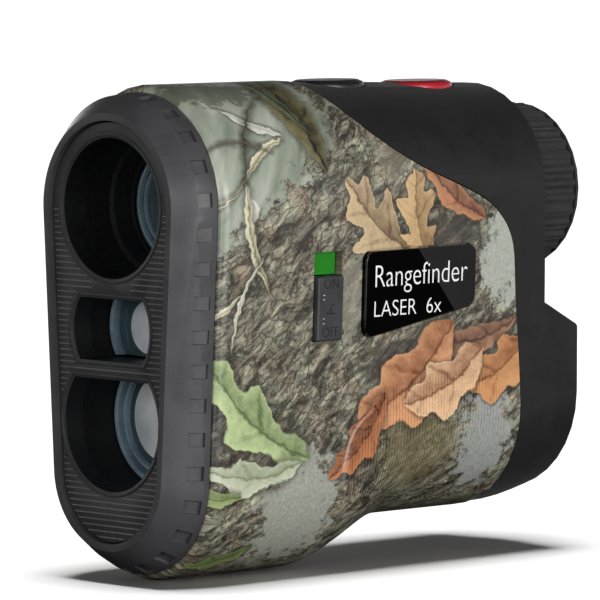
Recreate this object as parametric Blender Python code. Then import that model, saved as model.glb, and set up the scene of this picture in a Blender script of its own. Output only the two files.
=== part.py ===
"""Hand-held laser rangefinder: camouflage front covers, black rear housing, three front openings,
turning eyepiece, two top buttons, a slope switch and a battery behind a quarter-turn cap.

Every size is in millimetres. Depth runs back from the front face plate, height runs up from the
optical axis, and x is sideways, with +x on the side of the slope switch. place() turns these into
metres, with the origin at the middle of the bounding box's base.
"""
import math

import bmesh
import bpy
from mathutils import Matrix, Vector

MM = 0.001
GAP = 0.3

# Overall frame
RIM_DEPTH = -0.9
EYECUP_END = 94.0
MIDDLE_DEPTH = (RIM_DEPTH + EYECUP_END) / 2
AXIS_HEIGHT = 60.48
WIDE = 30.0

# Body outline: a top circle just above the optical axis and a bottom circle, joined by tangents
ARC_STEPS = 17
BODY_TOP_RADIUS = 19.45
BODY_TAPER = 0.02
LIFT_FRONT = 0.2
LIFT_PEAK = 0.69
LIFT_PEAK_DEPTH = 38.0
LIFT_END_DEPTH = 87.0
FRONT_BOTTOM = -60.55
REAR_BOTTOM = -53.3
FRONT_BOTTOM_RADIUS = 17.0
REAR_BOTTOM_RADIUS = 17.6
RISE_START = 33.2
RISE_END = 54.5
TAIL_START = 76.0
TAIL_RISE = 2.2
HOUSING_INSET = 0.2
WALL = 1.8

# Front
RIM_OUTLINE = (15.3, 12.9, 42.3)
CHAMFER_OUTLINE = (17.85, 14.7, 43.0, 0.25)
BEZEL_OUTLINE = (18.15, 16.1, 43.2, 0.25)
RIM_WIDTH = 1.2
CHAMFER_END = 2.6
BEZEL_END = 6.5
PLATE_BACK = 3.5
NOTCH_PITCH = 5.5
NOTCH_SIZE = (2.3, 2.7, 0.55)

# Openings in the face plate: radius, height of centre, flat above and flat below the centre
OBJECTIVE = (11.4, 0.0, None, None)
EMITTER = (9.1, -19.6, 5.05, -5.05)
RECEIVER = (11.2, -34.5, 7.0, None)
CELL_WALL = 1.0
CELL_FRONT = 3.8

# Covers and rear housing
COVER_FRONT = 6.8
BODY_REAR = 81.6
BUMP_REAR = 90.3
BUMP_SLOPE = ((BODY_REAR, -18.5), (89.2, -22.5), (BUMP_REAR, -24.0))
SEAM = ((36.6, 26.0), (37.6, 19.0), (38.9, 16.1), (40.5, 14.0), (43.8, 10.8), (48.6, 7.6),
        (54.2, 4.8), (58.5, 3.1), (62.1, 1.7), (65.6, 0.2), (68.9, -1.6), (71.6, -4.1), (73.2, -6.6),
        (74.1, -10.0), (74.5, -17.0), (75.3, -26.0), (75.9, -35.0), (75.8, -44.0), (75.8, -54.0),
        (75.8, -64.0))

# Eyepiece
EYEPIECE_RADIUS = 14.0
EYEPIECE_RIBS = 36
BARREL_RADIUS = 11.1
OCULAR_RADIUS = 8.6

# Top buttons: depth of centre
BUTTON_LENGTH = 14.2
BUTTON_WIDTH = 10.6
BUTTON_RISE = 0.35
BUTTON_TRAVEL = 0.8
MODE_DEPTH = 47.9
MEASURE_DEPTH = 68.4
BOARD_HEIGHT = 11.5
BOARD_THICKNESS = 0.8

# Slope switch, in its own frame on the side of the left cover
SWITCH_DEPTH = 30.6
SWITCH_HEIGHT = -14.75
SLOT_SIZE = (6.2, 14.5)
KNOB_SIZE = (5.6, 10.4)
SWITCH_TRAVEL = 3.8

# Name badge: corners as depth and height
BADGE_CORNERS = ((38.7, -7.9), (64.1, -7.8), (64.1, -17.7), (38.7, -22.1))
BADGE_CORNER_RADIUS = 1.6

# Battery compartment
BATTERY_HEIGHT = -36.0
BATTERY_RADIUS = 7.8
BATTERY_LENGTH = 27.0
BATTERY_FRONT = 59.0
CAP_RADIUS = 11.2
CAP_FLOOR = 86.7
BAIL_DEPTH = 91.9

# Screws that hold the covers together: depth and height
SCREW_PLACES = ((36.0, 10.5), (28.0, -50.3), (52.0, -20.0), (66.0, -20.5))
COVER_SPLIT = -3.0
SCREW_SEAT = -11.5

MATERIALS = {
    "bezel_black": ((0.052, 0.052, 0.055), 0.45, 0.0),
    "plate_grey": ((0.065, 0.065, 0.068), 0.5, 0.0),
    "camouflage": ((0.27, 0.25, 0.19), 0.45, 0.0),
    "housing_black": ((0.018, 0.018, 0.02), 0.5, 0.0),
    "rubber_black": ((0.014, 0.014, 0.015), 0.75, 0.0),
    "badge_black": ((0.004, 0.004, 0.004), 0.08, 0.0),
    "button_red": ((0.5, 0.025, 0.04), 0.3, 0.0),
    "knob_grey": ((0.07, 0.07, 0.075), 0.5, 0.0),
    "mark_green": ((0.005, 0.19, 0.005), 0.4, 0.0),
    "mark_red": ((0.45, 0.01, 0.01), 0.4, 0.0),
    "coated_glass": ((0.05, 0.08, 0.1), 0.05, 0.0),
    "anodised_black": ((0.02, 0.02, 0.022), 0.4, 0.8),
    "board_green": ((0.02, 0.12, 0.05), 0.5, 0.0),
    "steel": ((0.55, 0.55, 0.56), 0.3, 1.0),
    "battery_wrap": ((0.03, 0.05, 0.16), 0.35, 0.0),
}


# ---- Frame and mesh helpers ----

def place(x, depth, height):
    """World position in metres of a point given in millimetres."""
    return Vector((x * MM, (depth - MIDDLE_DEPTH) * MM, (height + AXIS_HEIGHT) * MM))


def clear_scene():
    for item in list(bpy.data.objects):
        bpy.data.objects.remove(item, do_unlink=True)


def add_object(name, bm):
    """A linked object from a bmesh, with its faces turned outward."""
    bmesh.ops.recalc_face_normals(bm, faces=bm.faces)
    mesh = bpy.data.meshes.new(name)
    bm.to_mesh(mesh)
    bm.free()
    item = bpy.data.objects.new(name, mesh)
    bpy.context.collection.objects.link(item)
    return item


def loft(name, rings, closed=False):
    """Join rings of (x, depth, height) points; a closed loft comes back round to its first ring."""
    bm = bmesh.new()
    loops = [[bm.verts.new(place(*point)) for point in ring] for ring in rings]
    pairs = list(zip(loops, loops[1:]))
    if closed:
        pairs.append((loops[-1], loops[0]))
    for ring_a, ring_b in pairs:
        for i in range(len(ring_a)):
            j = (i + 1) % len(ring_a)
            bm.faces.new((ring_a[i], ring_a[j], ring_b[j], ring_b[i]))
    if not closed:
        bm.faces.new(loops[0])
        bm.faces.new(list(reversed(loops[-1])))
    return add_object(name, bm)


def circle(radius, height=0.0, count=28):
    """Points (x, height) of a circle round the line at this height."""
    steps = [2 * math.pi * i / count for i in range(count)]
    return [(radius * math.cos(a), height + radius * math.sin(a)) for a in steps]


def clipped_circle(opening, grow=0.0, count=8):
    """Points of a circle cut flat above and below its centre, grown outward by a distance."""
    radius, height, top, bottom = opening
    radius += grow
    if top is None and bottom is None:
        return circle(radius, height, 4 * count)
    high = math.asin((top + grow) / radius) if top is not None else math.pi / 2
    low = math.asin((bottom - grow) / radius) if bottom is not None else -math.pi / 2
    right = [low + (high - low) * i / (2 * count) for i in range(2 * count + 1)]
    if bottom is None:
        right = right[1:]
    left = [math.pi - a for a in reversed(right)]
    if bottom is None:
        left.append(math.pi * 1.5)
    return [(radius * math.cos(a), height + radius * math.sin(a)) for a in right + left]


def tangent_outline(top_radius, bottom_radius, drop, lift=0.0, grow=0.0):
    """Points (x, height) of the outline round a top circle and a bottom circle below it."""
    lean = math.asin((bottom_radius - top_radius) / (drop + lift))
    points = []
    for centre, radius, start, sweep in ((lift, top_radius, lean, math.pi - 2 * lean),
                                         (-drop, bottom_radius, math.pi - lean, math.pi + 2 * lean)):
        for i in range(ARC_STEPS + 1):
            angle = start + sweep * i / ARC_STEPS
            points.append(((radius + grow) * math.cos(angle), centre + (radius + grow) * math.sin(angle)))
    return points


def at_depth(outline, depth):
    """A ring of points from an (x, height) outline at one depth."""
    return [(x, depth, height) for x, height in outline]


def tube(name, profile, height=0.0, count=28):
    """A turned ring: a closed profile of (radius, depth) points round the line at this height."""
    return loft(name, [at_depth(circle(r, height, count), d) for r, d in profile], closed=True)


def disc(name, profile, height=0.0, count=28):
    """A turned solid: (radius, depth) points from its front face to its back face."""
    return loft(name, [at_depth(circle(r, height, count), d) for r, d in profile])


def box(name, x_span, depth_span, height_span):
    corners = [(x_span[0], height_span[0]), (x_span[1], height_span[0]),
               (x_span[1], height_span[1]), (x_span[0], height_span[1])]
    return loft(name, [at_depth(corners, d) for d in depth_span])


def side_prism(name, outline, x_span):
    """A (depth, height) outline carried sideways between two x values."""
    return loft(name, [[(x, d, h) for d, h in outline] for x in x_span])


def cross_bar(name, radius, x_span, depth, height, count=16):
    """A round bar that runs sideways."""
    outline = [(depth + z, height + y) for z, y in circle(radius, 0.0, count)]
    return side_prism(name, outline, x_span)


def combine(piece, other, operation):
    """Cut, join or intersect a piece with another shape, which is used up."""
    modifier = piece.modifiers.new(operation.lower(), 'BOOLEAN')
    modifier.operation = operation
    modifier.object = other
    graph = bpy.context.evaluated_depsgraph_get()
    mesh = bpy.data.meshes.new_from_object(piece.evaluated_get(graph))
    piece.modifiers.clear()
    piece.data = mesh
    bpy.data.objects.remove(other, do_unlink=True)
    return piece


def cut(piece, *cutters):
    for cutter in cutters:
        combine(piece, cutter, 'DIFFERENCE')
    return piece


def join(piece, *others):
    for other in others:
        combine(piece, other, 'UNION')
    return piece


def finish(piece, material, smooth=True):
    """Give a piece its material and shading, and its own name's mesh."""
    piece.data.materials.clear()
    piece.data.materials.append(bpy.data.materials[material])
    piece.data.name = piece.name
    if smooth:
        piece.data.shade_smooth()
        piece.data.set_sharp_from_angle(angle=math.radians(35))
    return piece


def put_origin(piece, x, depth, height):
    """Move a piece's origin to a point, leaving its shape where it is."""
    point = place(x, depth, height)
    piece.data.transform(Matrix.Translation(-point))
    piece.location = point


def make_materials():
    for name, (colour, roughness, metallic) in MATERIALS.items():
        material = bpy.data.materials.new(name)
        material.use_nodes = True
        shader = material.node_tree.nodes["Principled BSDF"]
        shader.inputs["Base Color"].default_value = (*colour, 1.0)
        shader.inputs["Roughness"].default_value = roughness
        shader.inputs["Metallic"].default_value = metallic


# ---- Body surface ----

def blend(depth):
    """0 along the deep front of the body, 1 along its shallow rear, smooth between."""
    t = min(max((depth - RISE_START) / (RISE_END - RISE_START), 0.0), 1.0)
    return t * t * (3 - 2 * t)


def body_outline(depth):
    """Top radius, bottom radius, and how far their centres lie below and above the optical axis."""
    share = blend(depth)
    bottom_radius = FRONT_BOTTOM_RADIUS + (REAR_BOTTOM_RADIUS - FRONT_BOTTOM_RADIUS) * share
    tail = max(depth - TAIL_START, 0.0) / (BUMP_REAR - TAIL_START)
    bottom = FRONT_BOTTOM + (REAR_BOTTOM - FRONT_BOTTOM) * share + TAIL_RISE * tail ** 2
    if depth < LIFT_PEAK_DEPTH:
        lift = LIFT_FRONT + (LIFT_PEAK - LIFT_FRONT) * depth / LIFT_PEAK_DEPTH
    else:
        lift = LIFT_PEAK * max(LIFT_END_DEPTH - depth, 0.0) / (LIFT_END_DEPTH - LIFT_PEAK_DEPTH)
    return BODY_TOP_RADIUS - BODY_TAPER * depth, bottom_radius, -bottom - bottom_radius, lift


def body_top(depth):
    """Height of the body's top line at one depth."""
    top_radius, _, _, lift = body_outline(depth)
    return top_radius + lift


def body_ring(depth, grow=0.0):
    return at_depth(tangent_outline(*body_outline(depth), grow=grow), depth)


def side_x(depth, height):
    """Sideways position of the body's flat side at a depth and height."""
    top_radius, bottom_radius, drop, lift = body_outline(depth)
    lean = math.asin((bottom_radius - top_radius) / (drop + lift))
    return (top_radius - (height - lift) * math.sin(lean)) / math.cos(lean)


def stations(start, end):
    """Depths between two ends, close together where the underside rises."""
    rise = [RISE_START + (RISE_END - RISE_START) * i / 8 for i in range(9)]
    tail = [TAIL_START + (BUMP_REAR - TAIL_START) * i / 4 for i in range(4)]
    return [start] + [d for d in rise + tail if start < d < end] + [end]


def seam_curve(offset):
    """The seam in side view as a smooth line, moved back by an offset square to itself."""
    points = []
    for i in range(1, len(SEAM) - 2):
        p0, p1, p2, p3 = [Vector(SEAM[j]) for j in (i - 1, i, i + 1, i + 2)]
        for k in range(3):
            t = k / 3
            spot = 0.5 * (2 * p1 + (p2 - p0) * t + (2 * p0 - 5 * p1 + 4 * p2 - p3) * t ** 2
                          + (3 * p1 - p0 - 3 * p2 + p3) * t ** 3)
            way = 0.5 * ((p2 - p0) + 2 * (2 * p0 - 5 * p1 + 4 * p2 - p3) * t
                         + 3 * (3 * p1 - p0 - 3 * p2 + p3) * t ** 2)
            way.normalize()
            points.append((spot.x - way.y * offset, spot.y + way.x * offset))
    first = (SEAM[0][0] + offset, SEAM[0][1])
    last = (SEAM[-1][0] + offset, SEAM[-1][1])
    return [first] + points + [(SEAM[-2][0] + offset, SEAM[-2][1])] + [last]


def cover_region(name, offset):
    """The block ahead of the seam, as wide as the body, with its seam side moved back by an offset."""
    front = [(-5.0, SEAM[-1][1]), (-5.0, SEAM[0][1])]
    return side_prism(name, front + seam_curve(offset), (-WIDE, WIDE))


# ---- Front ----

def outline_walk(outline, pitch):
    """Evenly spaced (x, height, angle) spots round a closed outline."""
    loop = [Vector(p) for p in outline]
    loop.append(loop[0])
    lengths = [(b - a).length for a, b in zip(loop, loop[1:])]
    count = round(sum(lengths) / pitch)
    step = sum(lengths) / count
    spots = []
    travelled = 0.0
    target = step / 2
    for a, b, length in zip(loop, loop[1:], lengths):
        while target < travelled + length:
            spot = a.lerp(b, (target - travelled) / length)
            spots.append((spot.x, spot.y, math.atan2(b.y - a.y, b.x - a.x)))
            target += step
        travelled += length
    return spots


def notch_cutters():
    """One cutter mesh of small blocks spaced round the bezel's side."""
    width, length, deep = NOTCH_SIZE
    bm = bmesh.new()
    for x, height, angle in outline_walk(tangent_outline(*CHAMFER_OUTLINE), NOTCH_PITCH):
        block = Matrix.Translation(place(x, CHAMFER_END + length / 2, height))
        block = block @ Matrix.Rotation(-angle, 4, 'Y')
        block = block @ Matrix.Diagonal((width * MM, length * MM, 2 * deep * MM, 1.0))
        bmesh.ops.create_cube(bm, size=1.0, matrix=block)
    return add_object("notch_cutters", bm)


def front_bezel():
    rim = tangent_outline(*RIM_OUTLINE)
    rim_inner = tangent_outline(*RIM_OUTLINE, grow=-RIM_WIDTH)
    seat = tangent_outline(*RIM_OUTLINE, grow=0.6)
    shoulder = tangent_outline(*CHAMFER_OUTLINE)
    side = tangent_outline(*BEZEL_OUTLINE)
    side_inner = tangent_outline(*BEZEL_OUTLINE, grow=-WALL)
    rings = [at_depth(rim_inner, 1.8), at_depth(rim_inner, RIM_DEPTH), at_depth(rim, RIM_DEPTH),
             at_depth(shoulder, CHAMFER_END), at_depth(side, BEZEL_END - 1.0), at_depth(side, BEZEL_END),
             at_depth(side_inner, BEZEL_END),
             at_depth(side_inner, PLATE_BACK + GAP), at_depth(seat, PLATE_BACK), at_depth(seat, 1.8)]
    piece = loft("front_bezel", rings, closed=True)
    return finish(cut(piece, notch_cutters()), "bezel_black")


def face_plate():
    front = tangent_outline(*RIM_OUTLINE, grow=-RIM_WIDTH - GAP)
    flange = tangent_outline(*RIM_OUTLINE, grow=0.3)
    rings = [at_depth(front, 0.0), at_depth(front, 2.1), at_depth(flange, 2.1), at_depth(flange, PLATE_BACK)]
    piece = loft("face_plate", rings)
    for opening in (OBJECTIVE, EMITTER, RECEIVER):
        outline = clipped_circle(opening)
        cut(piece, loft("opening", [at_depth(outline, -3.0), at_depth(outline, 6.0)]))
    return finish(piece, "plate_grey")


def lens_cell(name, opening, steps, end):
    """A stepped barrel behind an opening; steps are (grow, start depth) from front to back."""
    outside = clipped_circle(opening, CELL_WALL)
    rings = [at_depth(outside, end), at_depth(outside, CELL_FRONT)]
    stops = [start for _, start in steps[1:]] + [end]
    for (grow, start), stop in zip(steps, stops):
        inside = clipped_circle(opening, grow)
        rings += [at_depth(inside, start), at_depth(inside, stop)]
    return finish(loft(name, rings, closed=True), "anodised_black")


def front_optics():
    lens_cell("objective_cell", OBJECTIVE, ((0.0, CELL_FRONT), (-1.0, 10.0), (-2.1, 18.4)), 22.0)
    lens_cell("emitter_cell", EMITTER, ((0.1, CELL_FRONT), (-0.9, 10.7)), 12.0)
    lens_cell("receiver_cell", RECEIVER, ((0.0, CELL_FRONT), (-1.1, 14.4)), 17.0)
    lens = disc("objective_lens", ((6.0, 14.3), (8.6, 14.7), (10.1, 15.2), (10.1, 17.4), (6.0, 18.0)))
    finish(lens, "coated_glass")
    ring = tube("objective_ring", ((9.5, 13.4), (10.1, 13.4), (10.1, 14.1), (9.5, 14.1)))
    finish(ring, "anodised_black")
    for name, opening, front, back in (("emitter_lens", EMITTER, 8.0, 10.4),
                                       ("receiver_lens", RECEIVER, 11.0, 14.1)):
        edge = clipped_circle(opening, -GAP)
        crown = clipped_circle(opening, -1.6)
        rings = [at_depth(crown, front), at_depth(edge, front + 0.7), at_depth(edge, back)]
        finish(loft(name, rings), "coated_glass")
    diode = disc("laser_diode", ((2.8, 23.0), (2.8, 25.5), (4.4, 25.5), (4.4, 31.0)), EMITTER[1], 24)
    finish(diode, "steel")
    can_profile = ((4.6, 38.0), (4.6, 42.0), (7.0, 42.0), (7.0, 43.5))
    detector = disc("receiver_detector", can_profile, RECEIVER[1], 24)
    finish(detector, "steel")


# ---- Covers and housing ----

def cover_shell():
    """The whole camouflage skin as a sleeve, before it is cut to the seam and split in two."""
    depths = stations(8.6, 78.5)
    shoulder = [body_ring(COVER_FRONT, -1.2), body_ring(COVER_FRONT + 0.5, -0.5)]
    outside = [body_ring(d) for d in depths]
    inside = [body_ring(d, -WALL) for d in reversed([COVER_FRONT] + depths[1:])]
    return loft("cover", shoulder + outside + inside, closed=True)


def cover_half(name, side):
    """One cover: the sleeve ahead of the seam, on one side of the middle."""
    piece = cover_shell()
    piece.name = name
    combine(piece, cover_region("region", -GAP / 2), 'INTERSECT')
    far = side * WIDE
    near = side * GAP / 2
    half = box("half", (min(near, far), max(near, far)), (-5.0, 90.0), (-70.0, 30.0))
    return combine(piece, half, 'INTERSECT')


def badge_plane():
    """Outward offset function of the badge's plane, through three corners of the body's side."""
    (d0, h0), (d1, h1), _, (d3, h3) = BADGE_CORNERS
    x0 = side_x(d0, h0)
    slope_depth = (side_x(d1, h1) - x0) / (d1 - d0)
    slope_height = (side_x(d3, h3) - x0) / (h3 - h0)
    return lambda depth, height: x0 + slope_depth * (depth - d0) + slope_height * (height - h0)


def rounded_polygon(corners, radius, grow=0.0, steps=4):
    """A convex (depth, height) polygon, listed clockwise, with round corners, grown by a distance."""
    count = len(corners)
    points = []
    for i in range(count):
        here = Vector(corners[i])
        ahead = (Vector(corners[(i + 1) % count]) - here).normalized()
        behind = (Vector(corners[i - 1]) - here).normalized()
        half = math.acos(ahead.dot(behind)) / 2
        centre = here + (ahead + behind).normalized() * radius / math.sin(half)
        first = here + behind * radius / math.tan(half) - centre
        last = here + ahead * radius / math.tan(half) - centre
        start = math.atan2(first.y, first.x)
        turn = (math.atan2(last.y, last.x) - start) % (2 * math.pi)
        if turn > math.pi:
            turn -= 2 * math.pi
        for k in range(steps + 1):
            angle = start + turn * k / steps
            points.append((centre.x + (radius + grow) * math.cos(angle),
                           centre.y + (radius + grow) * math.sin(angle)))
    return points


def badge_block(name, grow, low, high):
    """The badge's outline between two offsets from its plane."""
    surface = badge_plane()
    outline = rounded_polygon(BADGE_CORNERS, BADGE_CORNER_RADIUS, grow)
    return loft(name, [[(surface(d, h) + offset, d, h) for d, h in outline] for offset in (low, high)])


def switch_frame():
    """Matrix from the switch's own millimetres (out, back, up) to the world."""
    surface = side_x(SWITCH_DEPTH, SWITCH_HEIGHT)
    reach = 5.0
    lean = math.atan2(side_x(SWITCH_DEPTH, SWITCH_HEIGHT + reach) - surface, reach)
    matrix = Matrix.Translation(place(surface, SWITCH_DEPTH, SWITCH_HEIGHT))
    return matrix @ Matrix.Rotation(lean, 4, 'Y') @ Matrix.Diagonal((MM, MM, MM, 1.0))


def switch_box(name, out_span, width, up_span):
    """A block in the switch's frame, centred on the slot in depth."""
    bm = bmesh.new()
    size = (out_span[1] - out_span[0], width, up_span[1] - up_span[0])
    centre = Vector(((out_span[0] + out_span[1]) / 2, 0.0, (up_span[0] + up_span[1]) / 2))
    matrix = switch_frame() @ Matrix.Translation(centre) @ Matrix.Diagonal((*size, 1.0))
    bmesh.ops.create_cube(bm, size=1.0, matrix=matrix)
    return add_object(name, bm)


def screw_column(radius, x_span, depth, height):
    """A round column for a screw, ended inside the thickness of the cover's wall."""
    column = cross_bar("column", radius, x_span, depth, height)
    body = loft("body", [body_ring(d, -WALL / 2) for d in stations(depth - 5.0, depth + 5.0)])
    return combine(column, body, 'INTERSECT')


def left_cover():
    piece = cover_half("left_cover", 1)
    half_slot = SLOT_SIZE[1] / 2
    cut(piece, badge_block("pocket", GAP, -0.9, 4.0),
        switch_box("slot", (-6.0, 6.0), SLOT_SIZE[0], (-half_slot, half_slot)))
    for depth, height in SCREW_PLACES:
        join(piece, screw_column(2.2, (COVER_SPLIT + GAP / 2, WIDE), depth, height))
        cut(piece, cross_bar("pilot", 1.2, (COVER_SPLIT - 1.0, 4.0), depth, height))
    return finish(piece, "camouflage")


def right_cover():
    piece = cover_half("right_cover", -1)
    for depth, height in SCREW_PLACES:
        join(piece, screw_column(3.0, (-WIDE, COVER_SPLIT - GAP / 2), depth, height))
        cut(piece, cross_bar("hole", 1.2, (-16.0, 0.0), depth, height),
            cross_bar("seat", 2.1, (-WIDE, SCREW_SEAT), depth, height))
    return finish(piece, "camouflage")


def cover_screws():
    for number, (depth, height) in enumerate(SCREW_PLACES, start=1):
        head = (SCREW_SEAT - GAP - 1.4, SCREW_SEAT - GAP)
        screw = cross_bar("cover_screw_%d" % number, 1.7, head, depth, height)
        join(screw, cross_bar("shank", 0.9, (head[1] - 0.2, 3.0), depth, height))
        socket = box("socket", (head[0] - 1.0, head[0] + 0.7), (depth - 0.25, depth + 0.25),
                     (height - 1.2, height + 1.2))
        finish(cut(screw, socket), "steel")


def button_outline(centre, grow=0.0, count=32):
    """Points (x, depth) of a button's oval."""
    half_width = BUTTON_WIDTH / 2 + grow
    half_length = BUTTON_LENGTH / 2 + grow
    steps = [2 * math.pi * i / count for i in range(count)]
    return [(half_width * math.cos(a), centre + half_length * math.sin(a)) for a in steps]


def upright(name, layers):
    """Stacked (outline of (x, depth) points, height) layers joined into one solid."""
    return loft(name, [[(x, d, height) for x, d in outline] for outline, height in layers])


def rear_housing():
    depths = stations(30.0, BUMP_REAR - 0.8)
    outside = [body_ring(d, -HOUSING_INSET) for d in depths]
    piece = loft("rear_housing", outside + [body_ring(BUMP_REAR, -HOUSING_INSET - 0.8)])
    hollow_depths = stations(20.0, BODY_REAR - 2.0)
    cut(piece, loft("hollow", [body_ring(d, -HOUSING_INSET - WALL) for d in hollow_depths]),
        cover_region("region", GAP / 2))
    step = list(BUMP_SLOPE) + [(95.0, BUMP_SLOPE[-1][1]), (95.0, 30.0), (BODY_REAR, 30.0)]
    cut(piece, side_prism("step", step, (-WIDE, WIDE)),
        disc("eyepiece_hole", ((BARREL_RADIUS + GAP, 75.0), (BARREL_RADIUS + GAP, 85.0))),
        disc("battery_hole", ((9.5, 70.0), (9.5, 95.0)), BATTERY_HEIGHT),
        disc("cap_hole", ((CAP_RADIUS + GAP, CAP_FLOOR), (CAP_RADIUS + GAP, 95.0)), BATTERY_HEIGHT))
    for centre in (MODE_DEPTH, MEASURE_DEPTH):
        outline = button_outline(centre, GAP)
        cut(piece, upright("button_hole", ((outline, 10.0), (outline, 25.0))))
    return finish(piece, "housing_black")


def optical_chassis():
    plate = [body_ring(d, -WALL - 0.5) for d in (10.5, 12.5)]
    piece = loft("optical_chassis", plate)
    for opening in (OBJECTIVE, EMITTER, RECEIVER):
        outline = clipped_circle(opening, CELL_WALL + GAP)
        cut(piece, loft("cell_hole", [at_depth(outline, 8.0), at_depth(outline, 15.0)]))
    join(piece, box("spine", (-9.0, 9.0), (12.4, 74.0), (-14.2, -12.75)))
    bore = BARREL_RADIUS + 0.35
    collar = tube("collar", ((bore, 70.0), (13.8, 70.0), (13.8, 73.8), (bore, 73.8)))
    join(piece, cut(collar, box("upper", (-20.0, 20.0), (60.0, 80.0), (2.0, 20.0))))
    return finish(piece, "anodised_black")


# ---- Eyepiece and inner optics ----

def ribbed_outline(count, outer, root):
    """A circle whose rim stands out in even ribs."""
    points = []
    for i in range(count):
        for share, radius in ((0.0, root), (0.22, outer), (0.5, outer), (0.72, root)):
            angle = 2 * math.pi * (i + share) / count
            points.append((radius * math.cos(angle), radius * math.sin(angle)))
    return points


def round_like(outline, radius):
    """A circle whose points lie at the same angles as another outline's points."""
    return [(radius * x / math.hypot(x, z), radius * z / math.hypot(x, z)) for x, z in outline]


def diopter_ring():
    ribs = ribbed_outline(EYEPIECE_RIBS, EYEPIECE_RADIUS, EYEPIECE_RADIUS - 0.45)
    inside = round_like(ribs, BARREL_RADIUS + 0.4)
    rings = [at_depth(inside, 82.0), at_depth(ribs, 82.0), at_depth(ribs, 92.6), at_depth(inside, 92.6)]
    piece = finish(loft("diopter_ring", rings, closed=True), "rubber_black")
    put_origin(piece, 0.0, 86.7, 0.0)


def eyepiece():
    diopter_ring()
    cup = tube("eyecup", ((10.4, 92.9), (13.9, 92.9), (13.8, 93.5), (13.2, EYECUP_END),
                          (10.8, EYECUP_END), (10.4, 93.6)))
    put_origin(finish(cup, "rubber_black"), 0.0, 93.0, 0.0)
    wall = ((10.1, 70.3), (BARREL_RADIUS, 70.3), (BARREL_RADIUS, 92.0), (10.1, 92.0))
    barrel = tube("eyepiece_barrel", wall)
    finish(barrel, "anodised_black")
    cell = tube("ocular_cell", ((7.9, 78.8), (9.8, 78.8), (9.8, 89.2), (8.9, 89.2), (8.9, 79.5), (7.9, 79.5)))
    field = disc("field_lens", ((5.0, 79.8), (OCULAR_RADIUS, 80.3), (OCULAR_RADIUS, 82.2), (5.0, 82.8)))
    spacer = tube("lens_spacer", ((7.9, 82.7), (8.6, 82.7), (8.6, 84.9), (7.9, 84.9)))
    ocular = disc("ocular_lens", ((5.0, 84.8), (7.8, 85.2), (OCULAR_RADIUS, 85.4), (OCULAR_RADIUS, 87.6),
                                  (7.2, 88.1), (4.0, 88.4)))
    ring = tube("ocular_ring", ((7.8, 88.1), (8.6, 88.1), (8.6, 89.2), (7.8, 89.2)))
    for piece, material in ((cell, "anodised_black"), (field, "coated_glass"), (spacer, "anodised_black"),
                            (ocular, "coated_glass"), (ring, "anodised_black")):
        put_origin(finish(piece, material), 0.0, 83.0, 0.0)


def prisms_and_display():
    holder = box("prism_holder", (-10.3, 10.3), (44.0, 66.0), (-12.4, 9.4))
    finish(cut(holder, box("inside", (-9.1, 9.1), (40.0, 70.0), (-11.2, 8.2))), "anodised_black", False)
    front = ((45.0, -8.0), (45.0, 7.6), (49.0, 7.6), (56.6, -8.0))
    rear = ((57.2, -8.0), (49.6, 7.6), (65.0, 7.6), (65.0, -8.0))
    finish(side_prism("front_prism", front, (-8.0, 8.0)), "coated_glass", False)
    finish(side_prism("rear_prism", rear, (-8.0, 8.0)), "coated_glass", False)
    mount = box("display_frame", (-8.0, 8.0), (67.4, 69.6), (-7.0, 7.0))
    finish(cut(mount, box("window", (-6.3, 6.3), (60.0, 75.0), (-5.3, 5.3))), "anodised_black", False)
    finish(box("display_panel", (-6.0, 6.0), (68.1, 68.9), (-5.0, 5.0)), "coated_glass", False)


# ---- Controls ----

def top_button(name, centre, material, switch_name):
    """A pressed oval button with a retaining bar under the housing's wall, and its switch."""
    top = body_top(centre) - HOUSING_INSET + BUTTON_RISE
    ceiling = body_top(centre + BUTTON_LENGTH / 2) - HOUSING_INSET - WALL
    foot = ceiling - 1.4
    layers = ((button_outline(centre), foot), (button_outline(centre), top - 1.0),
              (button_outline(centre, -0.35), top - 0.35), (button_outline(centre, -1.2), top))
    button = upright(name, layers)
    bar = box("bar", (-2.2, 2.2), (centre - 8.1, centre + 8.1), (foot, foot + 0.8))
    finish(join(button, bar), material)
    put_origin(button, 0.0, centre, top)
    floor = BOARD_HEIGHT + BOARD_THICKNESS + GAP
    switch = box(switch_name, (-2.3, 2.3), (centre - 2.3, centre + 2.3), (floor, foot - BUTTON_TRAVEL - GAP))
    finish(switch, "steel", False)


def top_controls():
    top_button("mode_button", MODE_DEPTH, "rubber_black", "mode_switch")
    top_button("measure_button", MEASURE_DEPTH, "button_red", "measure_switch")
    board = box("button_board", (-7.0, 7.0), (41.0, 77.0), (BOARD_HEIGHT, BOARD_HEIGHT + BOARD_THICKNESS))
    finish(board, "board_green", False)


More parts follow.
